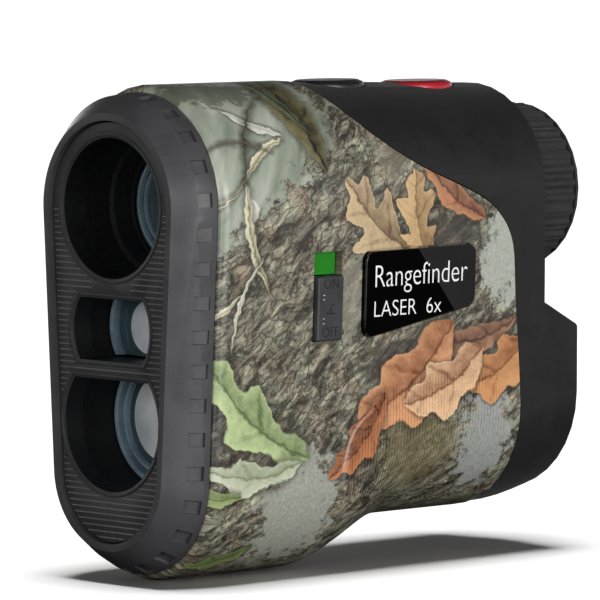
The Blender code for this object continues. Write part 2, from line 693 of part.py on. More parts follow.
def slope_switch():
    half_slot = SLOT_SIZE[1] / 2
    foot = -half_slot + 0.15
    knob = switch_box("slope_knob", (-1.05, 0.9), KNOB_SIZE[0], (foot, foot + KNOB_SIZE[1]))
    middle = -SWITCH_TRAVEL / 2
    join(knob, switch_box("stem", (-3.8, -0.9), 2.4, (middle - 1.2, middle + 1.2)))
    slider = switch_box("slope_slider", (-5.4, -4.1), 4.4, (middle - 2.2, middle + 2.2))
    base = switch_box("slope_base", (-3.7, -2.2), 9.0, (-9.6, 9.6))
    cut(base, switch_box("way", (-5.0, 0.0), 3.0, (-3.6, 3.6)))
    mark_span = (half_slot - 0.2 - SWITCH_TRAVEL + 0.2, half_slot - 0.2)
    green = switch_box("slope_mark_on", (-1.9, -1.4), SLOT_SIZE[0] - 0.6, mark_span)
    red = switch_box("slope_mark_off", (-1.9, -1.4), SLOT_SIZE[0] - 0.6, (-mark_span[1], -mark_span[0]))
    for piece, material in ((knob, "knob_grey"), (slider, "steel"), (base, "housing_black"),
                            (green, "mark_green"), (red, "mark_red")):
        finish(piece, material, False)
    finish(badge_block("name_badge", 0.0, -0.6, 0.8), "badge_black", False)


# ---- Battery and electronics ----

def battery_spring():
    """A conical coil between the battery's flat end and the front of its tube."""
    turns = 2.5
    steps = 36
    wire = 0.3
    rings = []
    for i in range(steps + 1):
        share = i / steps
        angle = 2 * math.pi * turns * share
        radius = 3.0 + 2.4 * share
        depth = BATTERY_FRONT - 0.7 - 1.6 * share
        ring = []
        for k in range(6):
            around = math.pi * k / 3
            out = radius + wire * math.cos(around)
            ring.append((out * math.cos(angle), depth + wire * math.sin(around),
                         BATTERY_HEIGHT + out * math.sin(angle)))
        rings.append(ring)
    return finish(loft("battery_spring", rings), "steel")


def battery_bay():
    front = BATTERY_FRONT - 2.8
    back = BATTERY_FRONT + BATTERY_LENGTH
    wall = ((8.1, front), (9.2, front), (9.2, back + GAP), (8.1, back + GAP))
    sleeve = tube("battery_tube", wall, BATTERY_HEIGHT)
    finish(sleeve, "housing_black")
    end = disc("battery_stop", ((8.8, front - 1.5), (8.8, front - 0.4)), BATTERY_HEIGHT)
    finish(end, "housing_black")
    battery_spring()
    profile = ((7.2, BATTERY_FRONT), (BATTERY_RADIUS, BATTERY_FRONT + 0.5), (BATTERY_RADIUS, back - 1.2),
               (7.0, back - 0.8), (3.0, back - 0.8), (3.0, back))
    finish(disc("battery", profile, BATTERY_HEIGHT), "battery_wrap")
    seat = CAP_FLOOR + GAP
    contact = disc("cap_contact", ((5.0, back + 0.35), (5.0, seat + 0.6)), BATTERY_HEIGHT)
    put_origin(finish(contact, "steel"), 0.0, seat, BATTERY_HEIGHT)
    section = ((9.9, seat), (10.9, seat), (10.9, seat + 0.6), (9.9, seat + 0.6))
    seal = tube("cap_seal", section, BATTERY_HEIGHT)
    put_origin(finish(seal, "rubber_black"), 0.0, seat, BATTERY_HEIGHT)


def battery_cap():
    front = CAP_FLOOR + 1.2
    profile = ((CAP_RADIUS, front), (CAP_RADIUS, BUMP_REAR - 0.4), (CAP_RADIUS - 0.5, BUMP_REAR + 0.1))
    piece = disc("battery_cap", profile, BATTERY_HEIGHT)
    for side in (-1, 1):
        span = sorted((side * 2.6, side * 4.6))
        heights = (BATTERY_HEIGHT - 1.3, BATTERY_HEIGHT + 1.3)
        ear = box("ear", span, (BUMP_REAR - 0.2, BAIL_DEPTH + 1.2), heights)
        join(piece, ear)
    cut(piece, cross_bar("pin_hole", 0.8, (-6.0, 6.0), BAIL_DEPTH, BATTERY_HEIGHT))
    put_origin(finish(piece, "housing_black"), 0.0, front, BATTERY_HEIGHT)


def cap_bail():
    """A half-ring handle with round eyes at its ends, hanging flat against the cap."""
    steps = 14
    rings = []
    for i in range(steps + 1):
        angle = math.pi + math.pi * i / steps
        ring = []
        for radius, depth in ((4.9, -0.7), (7.2, -0.7), (7.2, 0.7), (4.9, 0.7)):
            height = BATTERY_HEIGHT + radius * math.sin(angle)
            ring.append((radius * math.cos(angle), BAIL_DEPTH + depth, height))
        rings.append(ring)
    piece = loft("cap_bail", rings)
    for side in (-1, 1):
        span = sorted((side * 4.9, side * 7.2))
        join(piece, cross_bar("eye", 1.25, span, BAIL_DEPTH, BATTERY_HEIGHT))
    cut(piece, cross_bar("pin_hole", 0.8, (-9.0, 9.0), BAIL_DEPTH, BATTERY_HEIGHT))
    put_origin(finish(piece, "steel"), 0.0, BAIL_DEPTH, BATTERY_HEIGHT)
    pin = cross_bar("bail_pin", 0.5, (-7.6, 7.6), BAIL_DEPTH, BATTERY_HEIGHT, 12)
    put_origin(finish(pin, "steel"), 0.0, BAIL_DEPTH, BATTERY_HEIGHT)


def electronics():
    finish(box("main_board", (-14.1, -12.9), (24.0, 48.5), (-42.0, 7.0)), "board_green", False)
    finish(box("processor_shield", (-12.6, -10.8), (28.0, 42.0), (-30.0, -14.5)), "steel", False)
    finish(box("capacitor", (-12.6, -9.0), (31.0, 39.0), (-41.5, -37.3)), "battery_wrap", False)


def main():
    clear_scene()
    make_materials()
    front_bezel()
    face_plate()
    front_optics()
    left_cover()
    right_cover()
    cover_screws()
    rear_housing()
    optical_chassis()
    eyepiece()
    prisms_and_display()
    top_controls()
    slope_switch()
    battery_bay()
    battery_cap()
    cap_bail()
    electronics()


main()
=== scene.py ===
"""Looks of a hand-held laser rangefinder with woodland-print side covers.

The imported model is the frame. What shows is a fine copy of its parts, or a new part modelled
on them, and every finish is procedural. Sizes below are in millimetres, measured as on the
part: depth runs back from the face plate, height is above the axis of the top opening.
"""

import math

import bpy
from mathutils import Matrix, Vector


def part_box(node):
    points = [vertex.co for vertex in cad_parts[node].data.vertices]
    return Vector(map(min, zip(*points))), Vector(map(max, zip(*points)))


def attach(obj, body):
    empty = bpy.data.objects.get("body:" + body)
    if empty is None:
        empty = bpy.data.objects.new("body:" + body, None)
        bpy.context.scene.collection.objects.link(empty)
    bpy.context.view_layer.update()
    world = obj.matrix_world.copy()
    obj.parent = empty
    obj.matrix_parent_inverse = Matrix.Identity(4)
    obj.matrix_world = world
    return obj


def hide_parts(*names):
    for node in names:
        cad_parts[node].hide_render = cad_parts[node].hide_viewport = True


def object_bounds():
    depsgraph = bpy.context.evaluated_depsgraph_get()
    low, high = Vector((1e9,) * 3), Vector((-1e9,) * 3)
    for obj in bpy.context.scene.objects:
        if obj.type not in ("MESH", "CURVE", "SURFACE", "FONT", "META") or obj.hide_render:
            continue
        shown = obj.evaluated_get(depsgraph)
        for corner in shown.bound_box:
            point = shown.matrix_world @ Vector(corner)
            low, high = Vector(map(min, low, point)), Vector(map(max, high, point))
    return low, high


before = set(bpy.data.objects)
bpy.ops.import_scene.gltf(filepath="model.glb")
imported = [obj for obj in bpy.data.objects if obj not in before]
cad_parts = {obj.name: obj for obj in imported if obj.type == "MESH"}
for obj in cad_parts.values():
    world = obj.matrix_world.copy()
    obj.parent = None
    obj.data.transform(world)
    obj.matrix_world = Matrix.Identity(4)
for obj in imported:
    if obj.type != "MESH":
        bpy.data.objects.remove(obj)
cad_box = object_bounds()

MM = 0.001
RIM_PROUD = 0.9
FACE_Y = cad_box[0][1] + RIM_PROUD * MM
AXIS_Z = sum(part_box("objective_cell"), Vector()).z / 2

TOP_RADIUS = 19.45
BOTTOM_RADIUS = 17.0
BOTTOM_CENTRE = -43.5
PRINT_LENGTH = 78.0

OBJECTIVE = (11.4, 0.0, None, None)
EMITTER = (9.1, -19.6, 5.05, -5.05)
RECEIVER = (11.2, -34.5, 7.0, None)


def at(x, depth, height):
    """A point of the part, in metres in the row frame."""
    return Vector((x * MM, FACE_Y + depth * MM, AXIS_Z + height * MM))


# ---- Camera ----

def add_camera():
    """A long lens low at the front corner on the side of the slope switch."""
    azimuth = math.radians(46.4)
    elevation = math.radians(4.5)
    distance = 1.05
    aside, down = 30.3, 14.65
    level = Vector((math.cos(azimuth), math.sin(azimuth), 0))
    back = Vector((math.sin(azimuth) * math.cos(elevation),
                   -math.cos(azimuth) * math.cos(elevation), math.sin(elevation)))
    up = back.cross(level)
    data = bpy.data.cameras.new("camera")
    data.lens = 393.6
    data.sensor_width = 36.0
    data.clip_start = 0.01
    camera = bpy.data.objects.new("camera", data)
    place = at(0, 0, 0) + level * aside * MM - up * down * MM + back * distance
    camera.matrix_world = Matrix.Translation(place) @ Matrix((level, up, back)).transposed().to_4x4()
    bpy.context.scene.collection.objects.link(camera)
    bpy.context.scene.camera = camera


# ---- Materials ----

def linear(code):
    """An sRGB hex colour as linear red, green and blue, with an alpha of 1."""
    shares = [int(code[i:i + 2], 16) / 255 for i in (1, 3, 5)]
    return (*[s / 12.92 if s <= 0.04045 else ((s + 0.055) / 1.055) ** 2.4 for s in shares], 1.0)


def per_mm(size):
    """The texture scale that gives a pattern features of this many millimetres."""
    return 1.0 / (size * MM)


def add(tree, kind, inputs=None, stops=None, **settings):
    """Adds a node with its settings, and feeds its inputs with values or other nodes' outputs."""
    node = tree.nodes.new("ShaderNode" + kind)
    for name, value in settings.items():
        setattr(node, name, value)
    for place, value in (inputs or {}).items():
        if isinstance(value, bpy.types.NodeSocket):
            tree.links.new(value, node.inputs[place])
        else:
            node.inputs[place].default_value = value
    for i, (position, code) in enumerate(stops or ()):
        ramp = node.color_ramp.elements
        stop = ramp[i] if i < 2 else ramp.new(position)
        stop.position = position
        stop.color = linear(code)
    return node.outputs


def wire(tree, shader, **sockets):
    """Feeds a shader's sockets with nodes' outputs; an underscore stands for a name's space."""
    for socket, output in sockets.items():
        tree.links.new(output, shader.inputs[socket.replace("_", " ")])


def new_material(name, **sockets):
    """A material with one Principled shader, whose plain values are set on its own sockets.

    Also gives its node tree, the shader, and the place on the object that its patterns follow."""
    material = bpy.data.materials.new(name)
    material.use_nodes = True
    tree = material.node_tree
    tree.nodes.clear()
    output = tree.nodes.new("ShaderNodeOutputMaterial")
    shader = tree.nodes.new("ShaderNodeBsdfPrincipled")
    tree.links.new(shader.outputs[0], output.inputs["Surface"])
    for socket, value in sockets.items():
        shader.inputs[socket.replace("_", " ")].default_value = value
    return material, tree, shader, add(tree, "TexCoord")["Object"]


def moulded(name, dark, light, grain, relief, rough, **sockets):
    """A moulded skin: two close tones in soft clouds, and an eroded grain that scatters its gloss."""
    material, tree, shader, place = new_material(name, **sockets)
    clouds = add(tree, "TexNoise", {"Vector": place, "Scale": per_mm(8.0), "Detail": 4.0})["Fac"]
    grains = add(tree, "TexNoise", {"Vector": place, "Scale": per_mm(grain), "Detail": 3.0})["Fac"]
    rubbed = add(tree, "TexNoise", {"Vector": place, "Scale": per_mm(3.1), "Detail": 6.0,
                                    "Roughness": 0.7})["Fac"]
    tone = add(tree, "MapRange", {0: clouds, 1: 0.35, 2: 0.65})[0]
    speck = add(tree, "MapRange", {0: grains, 1: 0.42, 2: 0.66, 3: 0.0, 4: 0.5})[0]
    mixed = add(tree, "Math", {0: tone, 1: speck}, operation="ADD", use_clamp=True)[0]
    colour = add(tree, "Mix", {0: mixed, 6: linear(dark), 7: linear(light)}, data_type="RGBA")[2]
    matt = add(tree, "MapRange", {0: rubbed, 1: 0.35, 2: 0.65, 3: rough[0], 4: rough[1]})[0]
    bump = add(tree, "Bump", {"Height": grains, "Distance": relief * MM, "Strength": 0.8})["Normal"]
    wire(tree, shader, Base_Color=colour, Roughness=matt, Normal=bump)
    return material


def soft_touch_abs():
    """ABS under a soft-touch coat, which gives a deep black with a broad, dull sheen."""
    return moulded("soft_touch_abs", "#121213", "#1b1b1c", 0.30, 0.010, (0.42, 0.56),
                   Specular_IOR_Level=0.32, Sheen_Weight=0.06, Sheen_Roughness=0.5)


def satin_abs():
    """ABS moulded in a lightly eroded tool: a dark grey satin that lightens where it faces light."""
    return moulded("satin_abs", "#38383a", "#464648", 0.28, 0.012, (0.38, 0.52),
                   Specular_IOR_Level=0.45)


def plate_abs():
    """The face plate's ABS, a shade lighter and smoother than the bezel's."""
    return moulded("plate_abs", "#2f2f30", "#39393a", 0.24, 0.008, (0.36, 0.48),
                   Specular_IOR_Level=0.5)


def ridge_highlight_abs():
    """The plate's ABS, painted lighter on the tips of its ridges as a highlight where light would catch
    them.
    """
    return moulded("ridge_highlight_abs", "#585859", "#6a6a6b", 0.3, 0.004, (0.3, 0.42), Specular_IOR_Level=0.5)


def knob_abs():
    """Grey ABS of the slope switch's knob, smooth from thumbs."""
    return moulded("knob_abs", "#303032", "#3c3c3e", 0.22, 0.006, (0.34, 0.5), Specular_IOR_Level=0.5)


def eyepiece_rubber():
    """Nitrile rubber, which looks matt and dusty black in its grooves."""
    return moulded("eyepiece_rubber", "#1a1a1b", "#2a2a2b", 0.35, 0.02, (0.55, 0.75),
                   Specular_IOR_Level=0.4, Sheen_Weight=0.1)


def button_rubber():
    """Silicone rubber keypad skin, smooth black with a soft highlight."""
    return moulded("button_rubber", "#151516", "#1e1e1f", 0.25, 0.006, (0.28, 0.4),
                   Specular_IOR_Level=0.5)


def red_abs():
    """Red translucent ABS with light spreading a little under its skin."""
    return moulded("red_abs", "#8c0c1a", "#b41c2a", 0.3, 0.005, (0.24, 0.36), Subsurface_Weight=0.15,
                   Subsurface_Scale=0.001, Coat_Weight=0.12, Coat_Roughness=0.15)


def gloss_acrylic():
    """Back-printed acrylic: near-black, mirror-smooth, with a charcoal band printed across it."""
    material, tree, shader, place = new_material("gloss_acrylic", Specular_IOR_Level=0.4, Coat_Weight=0.25,
                                                 Coat_Roughness=0.03)
    parts = add(tree, "SeparateXYZ", {0: place})
    middle = at(0, 50.6, -8.0)
    across = add(tree, "Math", {0: parts["Y"], 1: middle.y}, operation="SUBTRACT")[0]
    down = add(tree, "Math", {0: parts["Z"], 1: middle.z}, operation="SUBTRACT")[0]
    slant = add(tree, "Math", {0: down, 1: 0.83, 2: across}, operation="MULTIPLY_ADD")[0]
    band = add(tree, "MapRange", {0: slant, 1: -0.05 * MM, 2: 0.05 * MM})[0]
    haze = add(tree, "TexNoise", {"Vector": place, "Scale": per_mm(6.0), "Detail": 4.0})["Fac"]
    charcoal = add(tree, "Mix", {0: haze, 6: linear("#222223"), 7: linear("#2c2c2d")}, data_type="RGBA")[2]
    colour = add(tree, "Mix", {0: band, 6: linear("#050505"), 7: charcoal}, data_type="RGBA")[2]
    wiped = add(tree, "MapRange", {0: haze, 1: 0.3, 2: 0.7, 3: 0.06, 4: 0.13})[0]
    wire(tree, shader, Base_Color=colour, Roughness=wiped)
    return material


def printed(name, code, rough=0.45):
    """Pad-printed ink: one pigment, slightly uneven where the pad lifted."""
    material, tree, shader, place = new_material(name, Specular_IOR_Level=0.4)
    pores = add(tree, "TexNoise", {"Vector": place, "Scale": per_mm(0.35), "Detail": 3.0})["Fac"]
    cover = add(tree, "MapRange", {0: pores, 1: 0.25, 2: 0.5, 3: 0.82, 4: 1.0})[0]
    colour = add(tree, "Mix", {0: cover, 6: linear("#202020"), 7: linear(code)}, data_type="RGBA")[2]
    gloss = add(tree, "MapRange", {0: pores, 3: rough - 0.08, 4: rough + 0.08})[0]
    wire(tree, shader, Base_Color=colour, Roughness=gloss)
    return material


def anodised_aluminium():
    """Black anodised, turned aluminium: fine turning marks round the optical axis, a dull metal sheen."""
    material, tree, shader, place = new_material("anodised_aluminium", Metallic=0.35, Specular_IOR_Level=0.4)
    marks = add(tree, "TexWave", {"Vector": place, "Scale": per_mm(2.4), "Distortion": 0.4},
                wave_type="BANDS", bands_direction="Y")["Fac"]
    dust = add(tree, "TexNoise", {"Vector": place, "Scale": per_mm(0.8), "Detail": 4.0})["Fac"]
    colour = add(tree, "Mix", {0: dust, 6: linear("#0c0c0d"), 7: linear("#1b1b1d")}, data_type="RGBA")[2]
    matt = add(tree, "MapRange", {0: dust, 1: 0.3, 2: 0.7, 3: 0.38, 4: 0.55})[0]
    bump = add(tree, "Bump", {"Height": marks, "Distance": 0.01 * MM, "Strength": 0.6})["Normal"]
    wire(tree, shader, Base_Color=colour, Roughness=matt, Normal=bump)
    return material


def plated_steel():
    """Nickel-plated steel with fine draw lines and darker, rougher blotches from handling."""
    material, tree, shader, place = new_material("plated_steel", Metallic=1.0)
    drawn = add(tree, "Mapping", {"Vector": place, "Scale": (1.0, 12.0, 1.0)})[0]
    lines = add(tree, "TexNoise", {"Vector": drawn, "Scale": per_mm(2.0), "Detail": 5.0})["Fac"]
    blots = add(tree, "TexNoise", {"Vector": place, "Scale": per_mm(2.6), "Detail": 4.0})["Fac"]
    colour = add(tree, "ValToRGB", {0: blots}, stops=((0.3, "#8f8f92"), (0.7, "#c4c4c8")))["Color"]
    matt = add(tree, "MapRange", {0: lines, 1: 0.3, 2: 0.7, 3: 0.22, 4: 0.42})[0]
    bump = add(tree, "Bump", {"Height": lines, "Distance": 0.006 * MM, "Strength": 0.5})["Normal"]
    wire(tree, shader, Base_Color=colour, Roughness=matt, Normal=bump)
    return material


def coated_glass():
    """Optical crown glass with a thin anti-reflection film, which leaves a faint teal cast."""
    material, tree, shader, place = new_material("coated_glass", IOR=1.52, Metallic=0.0, Coat_Weight=0.5,
                                                 Coat_Roughness=0.02, Transmission_Weight=0.35,
                                                 Thin_Film_Thickness=210.0, Thin_Film_IOR=1.38)
    depth = add(tree, "TexNoise", {"Vector": place, "Scale": per_mm(12.0), "Detail": 2.0})["Fac"]
    colour = add(tree, "ValToRGB", {0: depth}, stops=((0.3, "#33454b"), (0.7, "#4c6066")))["Color"]
    smear = add(tree, "TexNoise", {"Vector": place, "Scale": per_mm(3.0), "Detail": 5.0})["Fac"]
    polish = add(tree, "MapRange", {0: smear, 1: 0.3, 2: 0.7, 3: 0.03, 4: 0.08})[0]
    wire(tree, shader, Base_Color=colour, Roughness=polish)
    return material


def painted_reflection_glass():
    """The lens's polished middle, painted pale as a reflection of the light it throws back."""
    material, tree, shader, place = new_material("painted_reflection_glass", IOR=1.52, Coat_Weight=0.4,
                                                 Coat_Roughness=0.03)
    cloud = add(tree, "TexNoise", {"Vector": place, "Scale": per_mm(9.0), "Detail": 2.0})["Fac"]
    colour = add(tree, "ValToRGB", {0: cloud}, stops=((0.35, "#aeb4b8"), (0.65, "#d4d8db")))["Color"]
    smear = add(tree, "TexNoise", {"Vector": place, "Scale": per_mm(3.0), "Detail": 4.0})["Fac"]
    polish = add(tree, "MapRange", {0: smear, 1: 0.3, 2: 0.7, 3: 0.06, 4: 0.14})[0]
    wire(tree, shader, Base_Color=colour, Roughness=polish)
    return material


def painted_ring_reflection_glass():
    """The lens's rings: frosted and blue-grey, a painted reflection of the cell's rings in the glass."""
    return moulded("painted_ring_reflection_glass", "#526470", "#778b98", 0.4, 0.004, (0.25, 0.4), Specular_IOR_Level=0.6)


def solder_mask():
    """Glass-epoxy board under green solder mask, with copper tracks showing through."""
    material, tree, shader, place = new_material("solder_mask", Specular_IOR_Level=0.5)
    tracks = add(tree, "TexBrick", {"Vector": place, "Scale": per_mm(3.0), "Color1": linear("#1c5c3c"),
                                    "Color2": linear("#236b47"), "Mortar": linear("#3f8a55"),
                                    "Mortar Size": 0.03})["Color"]
    weave = add(tree, "TexNoise", {"Vector": place, "Scale": per_mm(0.5)})["Fac"]
    matt = add(tree, "MapRange", {0: weave, 3: 0.25, 4: 0.4})[0]
    wire(tree, shader, Base_Color=tracks, Roughness=matt)
    return material


def shrink_sleeve():
    """The cell's heat-shrunk PVC sleeve: blue with a paler band towards its contact end."""
    material, tree, shader, place = new_material("shrink_sleeve", Coat_Weight=0.4, Coat_Roughness=0.1)
    along = add(tree, "SeparateXYZ", {0: place})["Y"]
    end = add(tree, "MapRange", {0: along, 1: at(0, 78.0, 0).y, 2: at(0, 78.4, 0).y})[0]
    ripple = add(tree, "TexNoise", {"Vector": place, "Scale": per_mm(2.0)})["Fac"]
    colour = add(tree, "Mix", {0: end, 6: linear("#27407c"), 7: linear("#b9bcc4")}, data_type="RGBA")[2]
    matt = add(tree, "MapRange", {0: ripple, 3: 0.2, 4: 0.4})[0]
    wire(tree, shader, Base_Color=colour, Roughness=matt)
    return material


# ---- Woodland print ----

LEAVES = (
    # foot (along, up), tip (along, up), width share, lobes, veins, dark, light
    ((30.5, 5.5), (31.5, 33.0), 0.15, 0.05, 3.0, "#25231c", "#7f7856"),
    ((29.5, 12.0), (27.5, 33.0), 0.07, 0.1, 3.0, "#33372b", "#6f7458"),
    ((18.0, -14.0), (12.2, 5.8), 0.055, 0.15, 4.0, "#7d7556", "#dcd6ba"),
    ((12.0, 4.6), (23.2, 11.8), 0.07, 0.15, 3.0, "#857c5a", "#e0dabf"),
    ((23.8, 12.4), (12.5, 18.8), 0.075, 0.1, 3.0, "#b9bbab", "#e2e2d6"),
    ((11.8, 3.8), (22.0, 20.6), 0.02, 0.0, 3.0, "#3a382d", "#6b6752"),
    ((12.4, 5.4), (1.5, -0.5), 0.045, 0.1, 3.0, "#5f5b47", "#b4ae92"),
    ((5.5, 10.5), (19.5, 9.5), 0.016, 0.0, 3.0, "#4f4c3b", "#847e62"),
    ((2.0, -24.0), (13.5, -12.5), 0.04, 0.1, 3.0, "#a29b80", "#ddd7be"),
    ((9.5, -23.0), (16.5, -7.0), 0.03, 0.0, 3.0, "#b1ae98", "#dddacb"),
    ((51.5, -9.0), (34.5, 4.6), 0.31, 0.62, 3.0, "#66503a", "#cbb38d"),
    ((53.0, -9.0), (51.0, 5.4), 0.36, 0.55, 2.5, "#755a3c", "#cfae80"),
    ((67.5, -3.6), (52.5, 8.0), 0.15, 0.25, 2.5, "#5f3a2c", "#bd8661"),
    ((75.0, -20.5), (53.0, -23.0), 0.12, 0.15, 3.0, "#563c31", "#a98165"),
    ((76.5, -24.5), (62.5, -31.5), 0.36, 0.4, 2.0, "#7d4b2e", "#d29a69"),
    ((59.5, -20.5), (38.0, -35.5), 0.27, 0.3, 2.5, "#7a4629", "#d9a176"),
    ((66.8, -25.0), (48.5, -33.5), 0.28, 0.35, 2.5, "#835036", "#e6c199"),
    ((44.5, -31.0), (32.0, -44.5), 0.2, 0.4, 3.0, "#5e3626", "#bd7d54"),
    ((27.5, -41.0), (4.5, -23.0), 0.2, 0.5, 2.5, "#5d6d44", "#bccc96"),
    ((26.0, -41.5), (4.0, -41.0), 0.15, 0.4, 2.0, "#7c8669", "#c9cfb5"),
    ((13.0, -46.0), (1.0, -44.0), 0.16, 0.3, 2.0, "#5b693f", "#a0af78"),
    ((19.0, -56.0), (7.0, -60.0), 0.2, 0.3, 2.0, "#4c5936", "#8b9a62"),
)

PATCHES = (
    # centre (along, up), half sizes, how fully it covers, colour
    ((26.0, -50.0), (8.5, 11.0), 0.92, "#a3a599"),
    ((71.5, -10.0), (5.5, 8.5), 0.88, "#b2b6ab"),
    ((68.0, -41.0), (6.0, 9.5), 0.9, "#a5a7a2"),
    ((59.0, -6.5), (8.5, 3.6), 0.7, "#3f3a36"),
    ((46.0, -26.0), (9.0, 3.6), 0.6, "#3b3632"),
    ((23.5, -4.0), (5.0, 2.6), 0.45, "#45403b"),
    ((13.2, 0.2), (1.5, 1.7), 0.85, "#e0ded2"),
    ((10.0, -36.5), (8.0, 3.0), 0.5, "#3f3b35"),
    ((40.0, -41.0), (3.0, 6.0), 0.6, "#3a3531"),
    ((52.0, -41.0), (9.0, 7.5), 0.5, "#857c58"),
    ((36.0, -15.0), (3.0, 7.0), 0.5, "#a19e8e"),
    ((14.0, 24.0), (12.0, 4.5), 0.7, "#4f5744"),
    ((46.0, 8.0), (5.0, 4.0), 0.4, "#97907c"),
)


def leaf_group():
    """One leaf of the print: the share it covers, its tone, and the shadow round its edge."""
    tree = bpy.data.node_groups.new("leaf", "ShaderNodeTree")
    for name, kind in (("Sheet", "Vector"), ("Foot", "Vector"), ("Turn", "Float"), ("Length", "Float"),
                       ("Width", "Float"), ("Lobes", "Float"), ("Veins", "Float")):
        tree.interface.new_socket(name=name, in_out="INPUT", socket_type="NodeSocket" + kind)
    for name in ("Cover", "Tone", "Shadow"):
        tree.interface.new_socket(name=name, in_out="OUTPUT", socket_type="NodeSocketFloat")
    given = tree.nodes.new("NodeGroupInput").outputs
    made = tree.nodes.new("NodeGroupOutput").inputs
    offset = add(tree, "VectorMath", {0: given["Sheet"], 1: given["Foot"]}, operation="SUBTRACT")[0]
    turned = add(tree, "VectorRotate", {"Vector": offset, "Angle": given["Turn"]},
                 rotation_type="Z_AXIS", invert=True)[0]
    unit = add(tree, "VectorMath", {0: turned, 1: given["Length"]}, operation="DIVIDE")[0]
    parts = add(tree, "SeparateXYZ", {0: unit})
    along = add(tree, "Clamp", {0: parts["X"], 1: -0.3, 2: 1.3})[0]
    half_turn = add(tree, "Math", {0: along, 1: math.pi}, operation="MULTIPLY")[0]
    arch = add(tree, "Math", {0: half_turn}, operation="SINE")[0]
    curl = add(tree, "Math", {0: arch, 1: -0.10, 2: parts["Y"]}, operation="MULTIPLY_ADD")[0]
    off = add(tree, "Math", {0: curl}, operation="ABSOLUTE")[0]
    full = add(tree, "Math", {0: arch, 1: 0.0}, operation="MAXIMUM")[0]
    eased = add(tree, "Math", {0: full, 1: 0.7}, operation="POWER")[0]
    body = add(tree, "Math", {0: eased, 1: given["Width"]}, operation="MULTIPLY")[0]
    slanted = add(tree, "Math", {0: off, 1: -0.9, 2: along}, operation="MULTIPLY_ADD")[0]
    count = add(tree, "Math", {0: slanted, 1: given["Veins"]}, operation="MULTIPLY")[0]
    phase = add(tree, "Math", {0: count, 1: 2 * math.pi}, operation="MULTIPLY")[0]
    wave = add(tree, "Math", {0: phase}, operation="COSINE")[0]
    dip = add(tree, "Math", {0: wave, 1: 0.5, 2: -0.5}, operation="MULTIPLY_ADD")[0]
    notch = add(tree, "Math", {0: dip, 1: given["Lobes"], 2: 1.0}, operation="MULTIPLY_ADD")[0]
    reach = add(tree, "Math", {0: body, 1: notch}, operation="MULTIPLY")[0]
    inside = add(tree, "Math", {0: reach, 1: off}, operation="SUBTRACT")[0]
    cover = add(tree, "MapRange", {0: inside, 1: 0.0, 2: 0.012})[0]
    dark_edge = add(tree, "MapRange", {0: inside, 1: -0.06, 2: 0.0})[0]
    beside = add(tree, "MapRange", {0: arch, 1: -0.12, 2: 0.15})[0]
    shadow = add(tree, "Math", {0: dark_edge, 1: beside}, operation="MULTIPLY")[0]
    middle = add(tree, "MapRange", {0: off, 1: 0.004, 2: 0.014, 3: 1.0, 4: 0.0})[0]
    side = add(tree, "MapRange", {0: wave, 1: 0.9, 2: 1.0, 3: 0.0, 4: 0.55})[0]
    veins = add(tree, "Math", {0: middle, 1: side}, operation="MAXIMUM")[0]
    facing = add(tree, "Math", {0: curl}, operation="SIGN")[0]
    mottle = add(tree, "TexNoise", {"Vector": given["Sheet"], "Scale": 0.45, "Detail": 6.0,
                                    "Roughness": 0.65})["Fac"]
    grain = add(tree, "TexNoise", {"Vector": given["Sheet"], "Scale": 2.4, "Detail": 5.0,
                                   "Roughness": 0.7})["Fac"]
    grainy = add(tree, "Math", {0: grain, 1: 0.5, 2: mottle}, operation="MULTIPLY_ADD")[0]
    level = add(tree, "Math", {0: grainy, 1: 0.25}, operation="SUBTRACT")[0]
    folded = add(tree, "Math", {0: facing, 1: 0.17, 2: level}, operation="MULTIPLY_ADD")[0]
    outward = add(tree, "Math", {0: off, 1: 1.1, 2: folded}, operation="MULTIPLY_ADD")[0]
    lit = add(tree, "Math", {0: along, 1: 0.22, 2: outward}, operation="MULTIPLY_ADD")[0]
    rim = add(tree, "MapRange", {0: inside, 1: 0.0, 2: 0.05, 3: 0.2, 4: 0.0})[0]
    edged = add(tree, "Math", {0: lit, 1: rim}, operation="ADD")[0]
    tone = add(tree, "Math", {0: veins, 1: -0.4, 2: edged}, operation="MULTIPLY_ADD")[0]
    spread = add(tree, "MapRange", {0: tone, 1: 0.2, 2: 1.0})[0]
    tree.links.new(cover, made["Cover"])
    tree.links.new(spread, made["Tone"])
    tree.links.new(shadow, made["Shadow"])
    return tree


